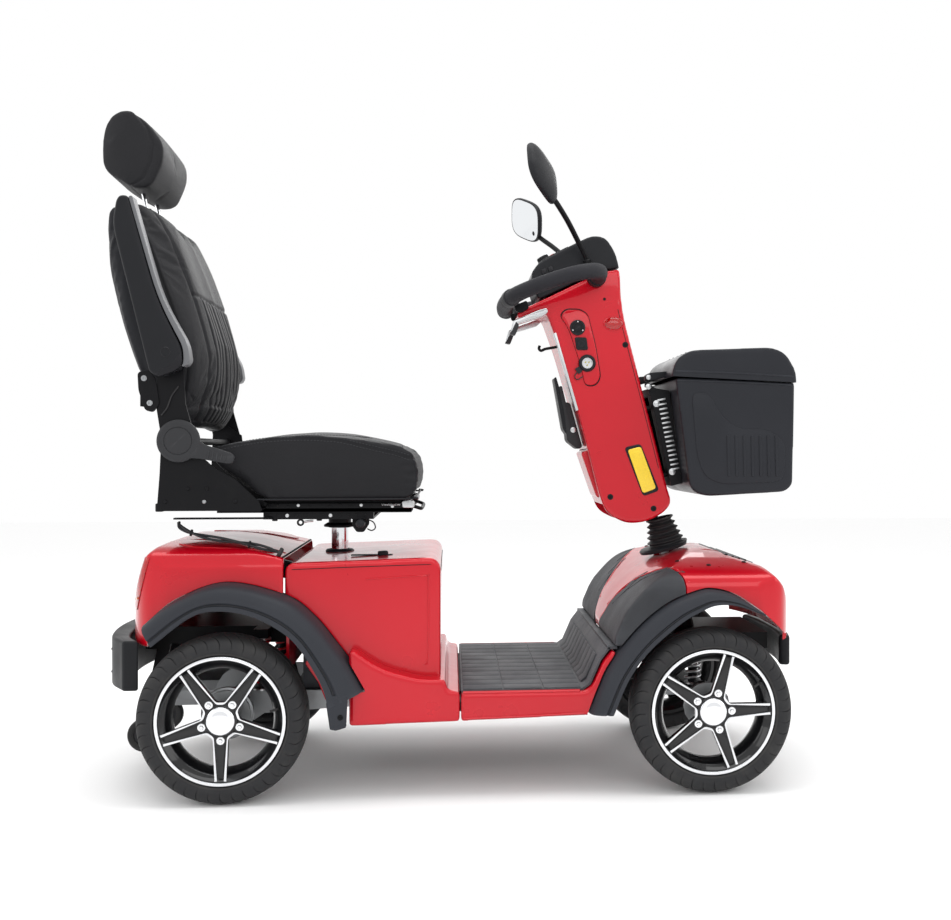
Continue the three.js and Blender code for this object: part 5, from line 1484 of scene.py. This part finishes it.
# ---- upholstery ----------------------------------------------------------------------------------
def inflate(obj, cap, pressure=4.0, pinned=None):
    """Blows a cover up as foam fills it: pinned points stay, and none moves past the cap, in mm."""
    scene = bpy.context.scene
    rest = [v.co.copy() for v in obj.data.vertices]
    modifier = obj.modifiers.new("cloth", "CLOTH")
    settings = modifier.settings
    settings.quality = 4
    settings.mass = 0.3
    settings.use_pressure = True
    settings.uniform_pressure_force = pressure
    settings.effector_weights.gravity = 0
    settings.tension_stiffness = 20
    settings.compression_stiffness = 20
    settings.shear_stiffness = 10
    settings.bending_stiffness = 2
    if pinned:
        group = obj.vertex_groups.new(name="seams")
        group.add([v.index for v in obj.data.vertices if pinned(*design(v.co))], 1.0, "REPLACE")
        settings.vertex_group_mass = "seams"
    for frame_number in range(1, 21):
        scene.frame_set(frame_number)
    settle(obj)
    scene.frame_set(1)
    for vertex, start in zip(obj.data.vertices, rest):
        move = vertex.co - start
        if move.length > cap * MM:
            vertex.co = start + move.normalized() * cap * MM
    obj.vertex_groups.clear()
    return obj


def sculpt(obj, change):
    """Moves every vertex by what `change` returns for its design place and its normal."""
    count = len(obj.data.vertices)
    places, normals = np.empty(count * 3), np.empty(count * 3)
    obj.data.vertices.foreach_get("co", places)
    obj.data.vertex_normals.foreach_get("vector", normals)
    places = places.reshape(-1, 3)
    moved = [change(*design(Vector(p)), Vector(n)) for p, n in zip(places, normals.reshape(-1, 3))]
    obj.data.vertices.foreach_set("co", (places + np.array(moved) * MM).ravel())
    obj.data.update()
    return obj


def looked_up(line, value, known=1):
    """A line's other coordinate where the known one has the value."""
    for a, b in zip(line, line[1:]):
        if value <= b[known]:
            return a[1 - known] + (b[1 - known] - a[1 - known]) * (value - a[known]) / (b[known] - a[known])
    return line[-1][1 - known]


def groove(distance, width, depth):
    return depth * math.exp(-(distance / width) ** 2)


SKINS = {}


def nearest(obj, points, lift=0.0):
    """The points moved onto a piece's skin, and then out by `lift`."""
    if obj.name not in SKINS:
        SKINS[obj.name] = BVHTree.FromPolygons([v.co for v in obj.data.vertices],
                                               [f.vertices for f in obj.data.polygons])
    line = []
    for p in points:
        where, normal, _, _ = SKINS[obj.name].find_nearest(at(*p))
        line.append(where + normal * lift * MM)
    return line


def stitches(obj, points, length=4.6, gap=2.6, radius=0.75, lift=0.35):
    """Thread that shows along a seam: short raised runs of it."""
    line = nearest(obj, resampled(through(points, 8), 160), lift)
    walk = [0.0]
    for a, b in zip(line, line[1:]):
        walk.append(walk[-1] + (b - a).length / MM)
    verts, faces, start = [], [], 0.0
    while start + length < walk[-1]:
        marks = [Vector([np.interp(s, walk, [p[k] for p in line]) for k in range(3)])
                 for s in (start, start + length * 0.2, start + length * 0.8, start + length)]
        way = (marks[-1] - marks[0]).normalized()
        across = way.orthogonal().normalized()
        up = way.cross(across)
        base = len(verts)
        for p, r in zip(marks, (radius * 0.35, radius, radius, radius * 0.35)):
            verts += [p + (across * math.cos(k * math.pi / 3) + up * math.sin(k * math.pi / 3)) * r * MM
                      for k in range(6)]
        faces += [tuple(base + k for k in range(5, -1, -1)), tuple(base + 18 + k for k in range(6))]
        for ring in range(3):
            for k in range(6):
                a, b = base + ring * 6 + k, base + ring * 6 + (k + 1) % 6
                faces.append((a, b, b + 6, a + 6))
        start += length + gap
    return [painted(make("stitches", verts, faces), THREAD)]


def piping(obj, points, radius=1.3, lift=0.0, material=None):
    line = nearest(obj, resampled(through(points, 8), 60), lift)
    return painted(tube([design(p) for p in line], radius, 8, 1), material or VINYL_SMOOTH)


SEAT_HALF = 236
HEAD_HALF = 118
POST_Y = 58
POST_LEAN = 0.2126
POST_AXIS = (-0.208, 0, 0.978)

# Seat cushion: crowned in the middle, with a seam along each side's upper edge and round the front.
CUSHION = [(-44, 752, 12), (-20, 763), (30, 772), (93, 782), (178, 787), (265, 780), (376, 763),
           (404, 745, 24),
           (413, 690, 40), (405, 652, 16), (380, 641, 16), (76, 640, 40), (24, 688, 40), (-24, 716, 20)]
SEAM = [(-30, 754), (20, 766), (77, 775), (153, 779), (233, 775), (300, 760), (368, 744), (396, 735)]


def seam_height(x):
    return looked_up(SEAM, x, 0)


cushion = soften(prism(rounded(CUSHION, 24, 6), -SEAT_HALF, SEAT_HALF), 5, 14)
sculpt(cushion, lambda x, y, z, n: (0, 0, 3.0 * (1 - (y / SEAT_HALF) ** 2) * max(0.0, n.z)
                                    - 5.0 * math.exp(-((abs(y) - 150) / 70) ** 2) * max(0.0, n.z)))
inflate(cushion, 9, 4, lambda x, y, z: (abs(y) > 229 and abs(z - seam_height(x)) < 7) or z < 643)
modify(cushion, "SUBSURF", levels=1, render_levels=1)
sculpt(cushion, lambda x, y, z, n: tuple(
    -n[i] * (groove(z - seam_height(x) + 2, 4.5, 1.5) * (abs(y) > 222)
             + groove(abs(y) - 168, 5, 2.6) * max(0.0, n.z) * (-20 < x < 372)
             + groove(x - 372, 5, 2.4) * max(0.0, n.z) * (abs(y) < 168)) for i in range(3)))
# Gathers fan out from the front corners, where the cover is pulled round the foam.
sculpt(cushion,
       lambda x, y, z, n: tuple(n[i] * 0.9 * math.sin(z * 0.33 + y * 0.05) * math.exp(-((x - 396) / 26) ** 2)
                                         * math.exp(-((abs(y) - 224) / 22) ** 2) for i in range(3)))
cushion_skin = painted(cushion, VINYL)
cushion_parts = []
for _, side in SIDES:
    seam_path = [(x, side * 240, z - 1) for x, z in SEAM]
    cushion_parts += stitches(cushion_skin, [(x, y, z - 3.4) for x, y, z in seam_path])
    cushion_parts += stitches(cushion_skin, [(x, y * 0.99, z + 4.6) for x, y, z in seam_path])
    cushion_parts.append(piping(cushion_skin, [(400, side * 234, 732), (410, side * 236, 706),
                                               (409, side * 236, 676),
                                               (402, side * 234, 652)], 1.2, -0.5))
    cushion_parts += stitches(cushion_skin, [(x, side * 163, 790) for x in range(-10, 370, 40)])
cushion_parts += stitches(cushion_skin, [(367, y, 752) for y in range(-160, 161, 40)])
hem = painted(tube([(60, -236, 643), (380, -236, 644), (402, -226, 648), (407, 0, 648), (402, 226, 648),
                    (380, 236, 644),
                    (60, 236, 643)], 2.4, 10, 6), BLACK)
cushion_parts.append(hem)
cushion_piece = piece("seat_pad", [cushion_skin, *cushion_parts], "seat", "vinyl", 60, ["seat_cushion"])

# Backrest: a smooth rear band, a bolstered edge and a channelled front.
BACK = [(-172, 1296, 16), (-262, 1288, 22), (-256, 1184), (-239, 1098), (-224, 1033), (-207, 979),
        (-176, 888), (-150, 880, 14),
        (-136, 806, 14), (-118, 797, 10), (-88, 797, 14), (-64, 828, 30), (-41, 880, 40), (-35, 943, 40),
        (-53, 1010), (-73, 1072),
        (-115, 1190), (-153, 1272, 24)]
BACK_FRONT = [(-92, 792), (-64, 828), (-41, 880), (-35, 943), (-53, 1010), (-73, 1072), (-115, 1190),
              (-153, 1272), (-165, 1300)]
BACK_REAR = [(-118, 792), (-150, 880), (-176, 888), (-207, 979), (-224, 1033), (-239, 1098),
             (-256, 1184), (-266, 1300)]


def back_front(z):
    return looked_up(BACK_FRONT, z)


def back_rear(z):
    return looked_up(BACK_REAR, z)


back = soften(prism(rounded(BACK, 40, 6), -SEAT_HALF, SEAT_HALF), 5, 14)
# The sides draw in towards the top, and the front is hollowed between its bolsters.
sculpt(back, lambda x, y, z, n: (-9 * math.exp(-((abs(y) - 60) / 90) ** 2) * max(0.0, n.x) * (z > 850),
                                 -y * 0.10 * max(0.0, (z - 1120) / 180) ** 2, 0))
# Its front falls back towards both sides.
sculpt(back, lambda x, y, z, n: (-34 * max(0.0, (abs(y) - 80) / 156) ** 2
                                 * max(0.0, min(1.0, (x - back_front(z) + 75) / 75)), 0, 0))
inflate(back, 10, 4, lambda x, y, z: abs(y) > 226
        and (abs(x - back_rear(z) - 42) < 5 or abs(x - back_front(z) + 50) < 5))
modify(back, "SUBSURF", levels=1, render_levels=1)


def back_seams(x, y, z, n):
    face = max(0.0, n.x)
    deep = 0.0
    if 815 < z < 1098:
        for line in (32, 64, 96, 128):
            deep += groove(abs(y) - line, 5, 4.2) * face
        deep += groove(y, 5, 4.2) * face
    deep += groove(abs(y) - 172, 6, 4.0) * face * (z > 815)
    deep += groove(z - 1098, 4.5, 3.4) * face * (abs(y) < 172)
    if abs(y) > 215:
        deep += groove(x - back_rear(z) - 42, 3.2, 2.2) + groove(x - back_front(z) + 50, 3.6, 2.2)
        deep += groove(x - back_rear(z) - 66, 3.0, 1.2)
    return tuple(-n[i] * deep for i in range(3))


sculpt(back, back_seams)
back_skin = painted(back, VINYL)
back_skin.data.materials.append(VINYL_SMOOTH)
for face in back_skin.data.polygons:
    x, y, z = design(face.center)
    face.material_index = 1 if x < back_rear(z) + 41 else 0
back_parts = []
for _, side in SIDES:
    rear_seam = [(back_rear(z) + 47, side * 240, z) for z in range(905, 1281, 47)]
    front_seam = [(back_front(z) - 56, side * 240, z) for z in range(850, 1261, 41)]
    back_parts += stitches(back_skin, rear_seam)
    back_parts += stitches(back_skin, front_seam)
    back_parts += stitches(back_skin, [(back_front(z) + 4, side * 166, z) for z in range(850, 1271, 42)])
    back_parts += stitches(back_skin, [(back_front(z) + 4, side * 178, z) for z in range(850, 1271, 42)])
    back_parts.append(piping(back_skin,
                             [(back_rear(z) + 66, side * 240, z) for z in range(905, 1281, 47)], 1.0, -0.3))
back_parts += stitches(back_skin, [(back_front(1104) + 4, y, 1104) for y in range(-164, 165, 41)])
# The pocket on the back's rear, with its elastic top edge.
pocket = []
for z in (915, 925, 1000, 1080, 1090):
    pocket.append([at(back_rear(z) - (5 if 915 < z < 1090 else 1) - 2 * math.cos(y / 180 * 1.5), y, z)
                   for y in range(-180, 181, 24)])
pocket_back = [[Vector((p.x + 0.005, p.y, p.z)) for p in ring] for ring in pocket]
loop = [ring + list(reversed(behind)) for ring, behind in zip(pocket, pocket_back)]
back_parts.append(painted(loft(loop), VINYL_SMOOTH))
back_parts.append(painted(tube([(back_rear(1090) - 4, y, 1090) for y in range(-180, 181, 40)], 3.2, 10,
                               4), VINYL_SMOOTH))
for _, side in SIDES:
    sleeve = lathe([(5.6, 0), (13, 0), (13, 4), (10, 12), (5.6, 13)], (-217.5, side * POST_Y, 1298),
                   POST_AXIS, 28, closed=True)
    back_parts.append(painted(sleeve, BLACK))
back_piece = piece("back_pad", [back_skin, *back_parts], "back", "vinyl", 60, ["backrest"])

# Headrest: a D-shaped side panel, a bulging front pad and two chromed posts.
HEAD = [(-277, 1371, 24), (-305, 1391, 30), (-309, 1435, 40), (-301, 1492, 40), (-278, 1520, 34),
        (-240, 1526, 34), (-202, 1495, 40),
        (-168, 1450, 30), (-168, 1413, 30), (-193, 1352, 26), (-230, 1343, 24)]
head = soften(prism(rounded(HEAD, 24, 6), -HEAD_HALF, HEAD_HALF), 4.5, 14)
sculpt(head, lambda x, y, z, n: (0, -y * 0.14 * max(0.0, (-250 - x) / 70), 0))
HEAD_SEAM = [(-250, 1345), (-213, 1368), (-196, 1404), (-190, 1444), (-204, 1484), (-236, 1526)]


def post_point(side, z):
    """A point on a headrest post's centre line."""
    return (-218 - (z - 1300) * POST_LEAN, side * POST_Y, z)


def head_seam(z):
    return looked_up(HEAD_SEAM, z)


inflate(head, 6, 4, lambda x, y, z: abs(y) > 108 and abs(x - head_seam(z)) < 5)
modify(head, "SUBSURF", levels=1, render_levels=1)
sculpt(head, lambda x, y, z, n: tuple(-n[i] * groove(x - head_seam(z), 4, 2.6) for i in range(3)))
head_skin = painted(head, VINYL)
head_parts = []
for _, side in SIDES:
    for shift in (-5.5, 5.5):
        head_parts += stitches(head_skin, [(x + shift, side * 122, z) for x, z in HEAD_SEAM])
    post = tube([post_point(side, 1162), post_point(side, 1350)], 5, 24, 1)
    head_parts.append(painted(bevel(post, 0.8, 2, 50), CHROME))
    for k in range(4):
        ring = lathe([(4.9, -0.8), (5.2, -0.4), (5.2, 0.4), (4.9, 0.8)], post_point(side, 1306 + k * 9),
                     POST_AXIS, 24, closed=True)
        head_parts.append(painted(ring, ZINC))
head_piece = piece("head_pad", [head_skin, *head_parts], "headrest", "vinyl", 60, ["headrest"])

# ---- armrests ------------------------------------------------------------------------------------
ARM_BODY = [(-207, 1285, 14), (-190, 1285, 10), (-131, 1069, 60), (-80, 966, 30), (-78, 935, 10),
            (-92, 919, 8), (-129, 906, 12),
            (-146, 915, 8), (-222, 1225, 60), (-214, 1274, 10)]
CHANNEL = [(-189, 1283, 3), (-182, 1285, 3), (-121, 1070, 60), (-68, 976, 20), (-63, 940, 6),
           (-70, 929, 4), (-80, 927, 3),
           (-76, 938, 6), (-77, 968, 20), (-128, 1067, 60)]
ARM_PIVOT_X, ARM_PIVOT_Z = -112, 957
for word, side in SIDES:
    parts = [painted(bevel(prism(rounded(ARM_BODY, 12, 5), *sorted((side * 275, side * 317))), 6, 5, 40),
                     BLACK)]
    channel = bevel(prism(rounded(CHANNEL, 6, 5), *sorted((side * 279, side * 313.5))), 2.6, 3, 40)
    # The slots in the channel are dark bars: painted shade, nothing is cut through.
    slots = []
    for (x0, z0), (x1, z1) in (((-172, 1232), (-163, 1204)), ((-148, 1146), (-139, 1118)),
                               ((-117, 1056), (-106, 1034))):
        slots.append(tube([(x0, side * 304, z0), (x1, side * 304, z1)], 3.6, 14, 1))
    parts.append(painted(channel, PALE))
    parts += [painted(slot_bar, DARK) for slot_bar in slots]
    skin = parts[0]
    for offset in (20, 26):
        line = [(-216 + offset * 0.55, side * 318, 1250), (-208 + offset, side * 318, 1190),
                (-180 + offset, side * 318, 1080),
                (-150 + offset, side * 318, 962)]
        parts += stitches(skin, line, 4.2, 2.8, 0.5, 0.1)
    well = lathe([(7.5, -6), (8.6, 0.6), (9.6, 1.0), (10.6, 0.2), (10.6, -6)],
                 (ARM_PIVOT_X, side * 317, ARM_PIVOT_Z),
                 (0, side, 0), 40, closed=True)
    sunk = disc((ARM_PIVOT_X, side * 313, ARM_PIVOT_Z), (0, side, 0), 8.4, 1.6, 0.5, 32)
    cap = bolt((ARM_PIVOT_X, side * 314.4, ARM_PIVOT_Z), (0, side, 0), 4.6, 2.2, "socket")
    parts += [painted(well, GLOSS), painted(sunk, DARK), painted(cap, STEEL_BLACK)]
    tip = bevel(prism(rounded([(-80, 960), (-78, 933), (-93, 918), (-128, 905), (-132, 914), (-98, 932)],
                              6, 4),
                      *sorted((side * 276.4, side * 317.6))), 3, 3, 40)
    parts.append(painted(tip, GLOSS))
    piece(f"arm_pad_{word}", parts, f"armrest_{word}", "black_plastic", 45, [f"armrest_{word}"])

# ---- recliner, hinge covers and seat metalwork ---------------------------------------------------
RECLINE_X, RECLINE_Z = -98, 771
hub_at = (RECLINE_X, -263, RECLINE_Z)
ring = lathe([(0.01, 0.2), (45.4, 0.2), (46, 1.6), (45.4, 5.4), (42, 8.2), (38, 9), (31, 9), (30, 8.2),
              (29.2, 7.4), (28.2, 8.6), (26, 9.2),
              (14, 9.6), (0.01, 9.7)], hub_at, (0, -1, 0), 72)
arm = bevel(prism(rounded([(-62, 786, 8), (-48, 765, 20), (14, 745, 6), (22, 737, 6), (17, 723, 4),
                           (6, 722, 4), (-54, 733, 10),
                           (-80, 734, 6)], 6, 5), -271.4, -264), 2.4, 4, 40)
grip_line = [painted(plate([(-34 + k * 9, 752 - k * 3), (-31 + k * 9, 751 - k * 3),
                            (-34 + k * 9, 733 - k * 1.4), (-37 + k * 9, 734 - k * 1.4)],
                           (270.6, 272.4), -1, 0.7, 0.5), GREY) for k in range(5)]
piece("recline_handle", [painted(ring, GREY), painted(arm, GREY), *grip_line], "recline_lever",
      "grey_plastic", 40, ["recline_lever"])

repaint("seat_frame", STEEL_BLACK)
repaint("back_frame", STEEL_BLACK)
fitting = []
for _, side in SIDES:
    for x, z in ((-128, 640), (-80, 668), (-40, 668), (-46, 640), (20, 640)):
        fitting.append(painted(bolt((x, side * 256, z), (0, side, 0), 4.4, 2.6, "dome"), CAST if x == -46
                               else STEEL_BLACK))
    hinge = lathe([(0.01, 0), (30, 0), (32, 1.6), (30, 3.6), (16, 4.2), (14, 3), (0.01, 3)],
                  (RECLINE_X, side * 256.1, RECLINE_Z), (0, side, 0), 48)
    fitting.append(painted(hinge, STEEL_BLACK))
    # The row of rivets along the lower flange, and the rail with its end stops.
    for k in range(13):
        x = 78 + k * 23
        fitting.append(painted(disc((x, side * 204.1, 626 + 3 * (k % 2)), (0, side, 0), 3.6, 1.4, 0.5,
                                    14), ZINC if k in (3, 9, 12) else STEEL_BLACK))
    rail = plate([(64, 613), (396, 613), (400, 618), (400, 634), (64, 634)], (197.6, 204), side, 1.4, 3)
    fitting.append(painted(rail, STEEL_BLACK))
    fitting.append(painted(plate([(376, 622), (402, 622), (404, 636), (392, 642), (374, 638)],
                                 (190, 206), side, 2.4, 5), ZINC))
    fitting.append(painted(plate([(-152, 618), (-136, 618), (-136, 636), (-152, 636)], (222, 246), side,
                                 2, 3), BLACK))
    bracket = plate([(36, 626), (76, 626), (80, 636), (62, 644), (30, 640)], (204, 210), side, 1.2, 4)
    fitting.append(painted(bracket, STEEL_BLACK))
slide_bar = [(404, -120, 617), (418, -118, 612), (424, -100, 610), (425, 0, 610), (424, 100, 610),
             (418, 118, 612), (404, 120, 617)]
fitting.append(painted(tube([(x - 8, y, z + 6) for x, y, z in slide_bar], 4.2, 16, 6), STEEL_BLACK))
springs = []
for k in range(90):
    angle = k * 2 * math.pi / 8
    springs.append((330 + k * 0.46, -207 + 2.6 * math.cos(angle), 630 + 2.6 * math.sin(angle)))
fitting.append(painted(tube(springs, 0.8, 6, 1), ZINC))
piece("seat_fittings", fitting, "seat", "black_steel", 35)

bracket_parts = []
for _, side in SIDES:
    cover_plate = plate([(-184, 918, 8), (-160, 924, 8), (-146, 905), (-138, 850), (-150, 832),
                         (-168, 836, 8), (-182, 880)], (262.1, 266), side, 1.2, 6)
    bracket_parts.append(painted(cover_plate, STEEL_BLACK))
    for x, z in ((-170, 905), (-158, 852)):
        bracket_parts.append(painted(bolt((x, side * 265.6, z), (0, side, 0), 4.6, 2.6, "socket"), CAST))
    wire = tube([(-98, side * 264, 888), (-112, side * 264.6, 868), (-122, side * 264.6, 842),
                 (-134, side * 264.4, 826)], 1.6, 10, 6)
    bracket_parts.append(painted(wire, BOOT))
    pivot = lathe([(7.6, 0), (13, 0), (13, 6), (11, 8), (7.6, 8)],
                  (ARM_PIVOT_X, side * 262, ARM_PIVOT_Z), (0, side, 0),
                  32, closed=True)
    bracket_parts.append(painted(pivot, ZINC))
piece("back_fittings", bracket_parts, "back", "black_steel", 35)


# ---- seat post, swivel, axles, springs -----------------------------------------------------------
repaint("swivel_plate", STEEL_BLACK)
repaint("seat_post", CHROME)
repaint("chassis_frame", STEEL_BLACK)
repaint("front_axle", STEEL_BLACK)
repaint("transaxle", CAST)
repaint("track_rod", ZINC)
repaint("battery_pack", BATTERY)
for word, side in SIDES:
    repaint(f"steering_knuckle_{word}", CAST)

under = []
under.append(painted(lathe([(27.2, 0), (38, 0), (38, 4), (30, 9), (27.2, 10)], (218, 0, 568), (0, 0, 1),
                           48, closed=True), STEEL_BLACK))
for y in (-180, 180):
    for x in (92, 190, 290):
        under.append(painted(bolt((x, y, 597.4), (0, 0, -1), 6, 4.5, "hex"), STEEL_BLACK))
eye = lathe([(4, -2.4), (8, -2.4), (8, 2.4), (4, 2.4)], (150, -190, 590), (0, 1, 0), 28, closed=True)
under.append(painted(eye, STEEL_BLACK))
under.append(painted(tube([(158, -190, 591), (168, -190, 593), (178, -190, 593.6)], 2.6, 10, 4), ZINC))
for k in range(12):
    x = 84 + k * 19
    under.append(painted(disc((x, -200, 606), (0, -1, 0), 4, 1.3, 0.4, 16), ZINC if k % 5 == 2
                         else STEEL_BLACK))
catch = plate([(262, 597), (300, 597), (300, 584), (288, 566), (272, 566), (262, 580)], (160, 168), -1,
              1.4, 4)
under.append(painted(catch, STEEL_BLACK))
wire = [(300, -196, 596), (312, -200, 590), (316, -200, 578), (308, -200, 572), (298, -200, 576)]
under.append(painted(tube(wire, 1.4, 10, 6), BOOT))
piece("swivel_fittings", under, "swivel", "black_steel", 35)

stem = tube([(286, -150, 590), (286, -228, 590)], 5, 20, 1)
knob = lathe([(0.01, -2), (7, -2), (9, 0), (10, 8), (10, 16), (8.6, 21), (5, 23.4), (0.01, 24)],
             (286, -222, 590), (0, -1, 0), 36)
foot = block((278, 294), (-158, -146), (582, 596), 1.6)
piece("swivel_handle", [painted(stem, STEEL_BLACK), painted(knob, BLACK), painted(foot, STEEL_BLACK)],
      "swivel_lever", "black_steel", 35,
      ["swivel_lever"])


SHOCK_X, SHOCK_Y, SHOCK_SEAT_Z = 60, 156, 212.4
FRONT_SPRING_Y, FRONT_SEAT_Z = 108, 199.5


def coil_spring(name, node, body, x, y, low, high, radius, turns, wire):
    """A damper inside a coil spring, between its two seats."""
    parts = []
    body_tube = lathe([(0.01, low), (radius * 0.55, low), (radius * 0.55, low + (high - low) * 0.62),
                       (radius * 0.5, low + (high - low) * 0.64),
                       (radius * 0.28, low + (high - low) * 0.65), (radius * 0.28, high), (0.01, high)],
                       (x, y, 0), (0, 0, 1), 28)
    parts.append(painted(body_tube, STEEL_BLACK))
    for z0, z1 in ((low, low + 5), (high - 5, high)):
        seat_disc = lathe([(0.01, z0), (radius, z0), (radius, z1 - 1), (radius - 1, z1), (0.01, z1)],
                          (x, y, 0), (0, 0, 1), 32)
        parts.append(painted(seat_disc, ZINC))
    line = []
    steps = int(turns * 20)
    for k in range(steps + 1):
        t = k / steps
        angle = 2 * math.pi * turns * t
        line.append((x + (radius - wire) * math.cos(angle), y + (radius - wire) * math.sin(angle),
                     low + 5 + wire + (high - low - 10 - 2 * wire) * t))
    parts.append(painted(tube(line, wire, 10, 1), RED if radius > 19 and body == "rear_axle" else ZINC))
    obj = join(name, parts)
    shade(obj, 40)
    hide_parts(node)
    return obj


for word, side in SIDES:
    rear = coil_spring(f"rear_damper_{word}", f"rear_shock_{word}", "rear_axle", SHOCK_X, side * SHOCK_Y,
                       SHOCK_SEAT_Z, 329.6, 20, 6, 3)
    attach(rear, "rear_axle")
    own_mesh(rear)
    front = coil_spring(f"front_coil_{word}", f"front_spring_{word}", "front_axle", WHEELBASE,
                        side * FRONT_SPRING_Y, FRONT_SEAT_Z, 281.5, 20, 5, 3)
    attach(front, "front_axle")
    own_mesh(front)

# Brake drums and calipers behind the rims; the front ones are small enough to steer past the axle.
for word, side in SIDES:
    for end, x, body, size in (("rear", 0, "rear_axle", 1.0), ("front", WHEELBASE, f"knuckle_{word}", 0.68)):
        inner = 226 if end == "rear" else 235
        drum = lathe([(20 * size, inner), (50 * size, inner), (56 * size, inner + 4), (56 * size, 243),
                      (50 * size, 245.6),
                      (20 * size, 245.6)], (x, 0, AXLE_Z), (0, side, 0), 56, closed=True)
        bits = [painted(drum, CAST)]
        for k in range(12):
            fx, fz = x + 54 * size * math.cos(math.pi * k / 6), AXLE_Z + 54 * size * math.sin(math.pi * k / 6)
            fin = block((fx - 2, fx + 2), (side * (inner + 3), side * 243), (fz - 2, fz + 2), 0.8)
            bits.append(painted(fin, CAST))
        caliper = plate([(x - 34 * size, AXLE_Z + 36 * size), (x - 8 * size, AXLE_Z + 52 * size),
                         (x + 12 * size, AXLE_Z + 50 * size),
                         (x + 8 * size, AXLE_Z + 32 * size), (x - 18 * size, AXLE_Z + 22 * size)], (238, 246),
                         side, 2.0, 4)
        bits.append(painted(caliper, ZINC))
        for dx, dz in ((-22, 36), (2, 42)):
            bits.append(painted(bolt((x + dx * size, side * 246, AXLE_Z + dz * size), (0, side, 0), 3.6, 3,
                                     "hex"), ZINC))
        piece(f"{end}_brake_{word}", bits, body, "cast_alloy", 40)

# Anti-tip rollers.
for word, side in SIDES:
    w = (-213, side * 98, 101)
    tread = lathe([(24, -9), (30, -11.6), (35, -11.4), (38, -8), (38, 8), (35, 11.4), (30, 11.6),
                   (24, 9)], w, (0, side, 0), 56, closed=True)
    core = lathe([(5.8, -10), (12, -10), (14, -6), (24.4, -6), (24.4, 6), (14, 6), (12, 10), (5.8, 10)],
                 w, (0, side, 0), 48, closed=True)
    nut = bolt((-213, side * 112, 101), (0, side, 0), 7, 4.5, "hex")
    piece(f"tip_roller_{word}", [painted(tread, TYRE), painted(core, GREY)], f"anti_tip_wheel_{word}",
          "black_plastic", 40,
          [f"anti_tip_wheel_{word}"])
    piece(f"tip_bolt_{word}", [painted(nut, ZINC)], "chassis", "bright_steel", 30)

# Red liners that show behind the rear wheels.
arch_bits = []
for _, side in SIDES:
    liner = plate([(178, 300), (214, 250), (226, 214), (214, 206), (198, 246), (168, 290)], (246, 262),
                  side, 2, 6)
    arch_bits.append(painted(liner, RED))
piece("arch_fittings", arch_bits, "chassis", "bright_steel", 40)

# The seat's wiring loom: two sleeved strands that cross on their way to the covers' seam.
LOOM_LINE = [(-112, -204, 593), (-108, -209, 583), (-80, -226, 571), (-46, -232, 562), (0, -232, 554),
             (46, -233, 546),
             (84, -236, 536), (112, -238, 528)]
strands = []
for phase in (0.0, math.pi):
    strand = []
    for k, (x, y, z) in enumerate(through(LOOM_LINE, 4)):
        turn = phase + 0.34 * k
        strand.append((x, y + 3.4 * math.cos(turn), z + 3.4 * math.sin(turn)))
    strands.append(painted(tube(strand, 2.9, 12, 2), LOOM))
for x, y, z in (LOOM_LINE[2], LOOM_LINE[5]):
    strands.append(painted(lathe([(6.4, -2), (7.6, -1.4), (7.6, 1.4), (6.4, 2)], (x, y, z),
                                 (0.97, -0.05, -0.22), 28, closed=True), DARK))
piece("loom", strands, "chassis", "boot_rubber", 60, ["seat_loom"])
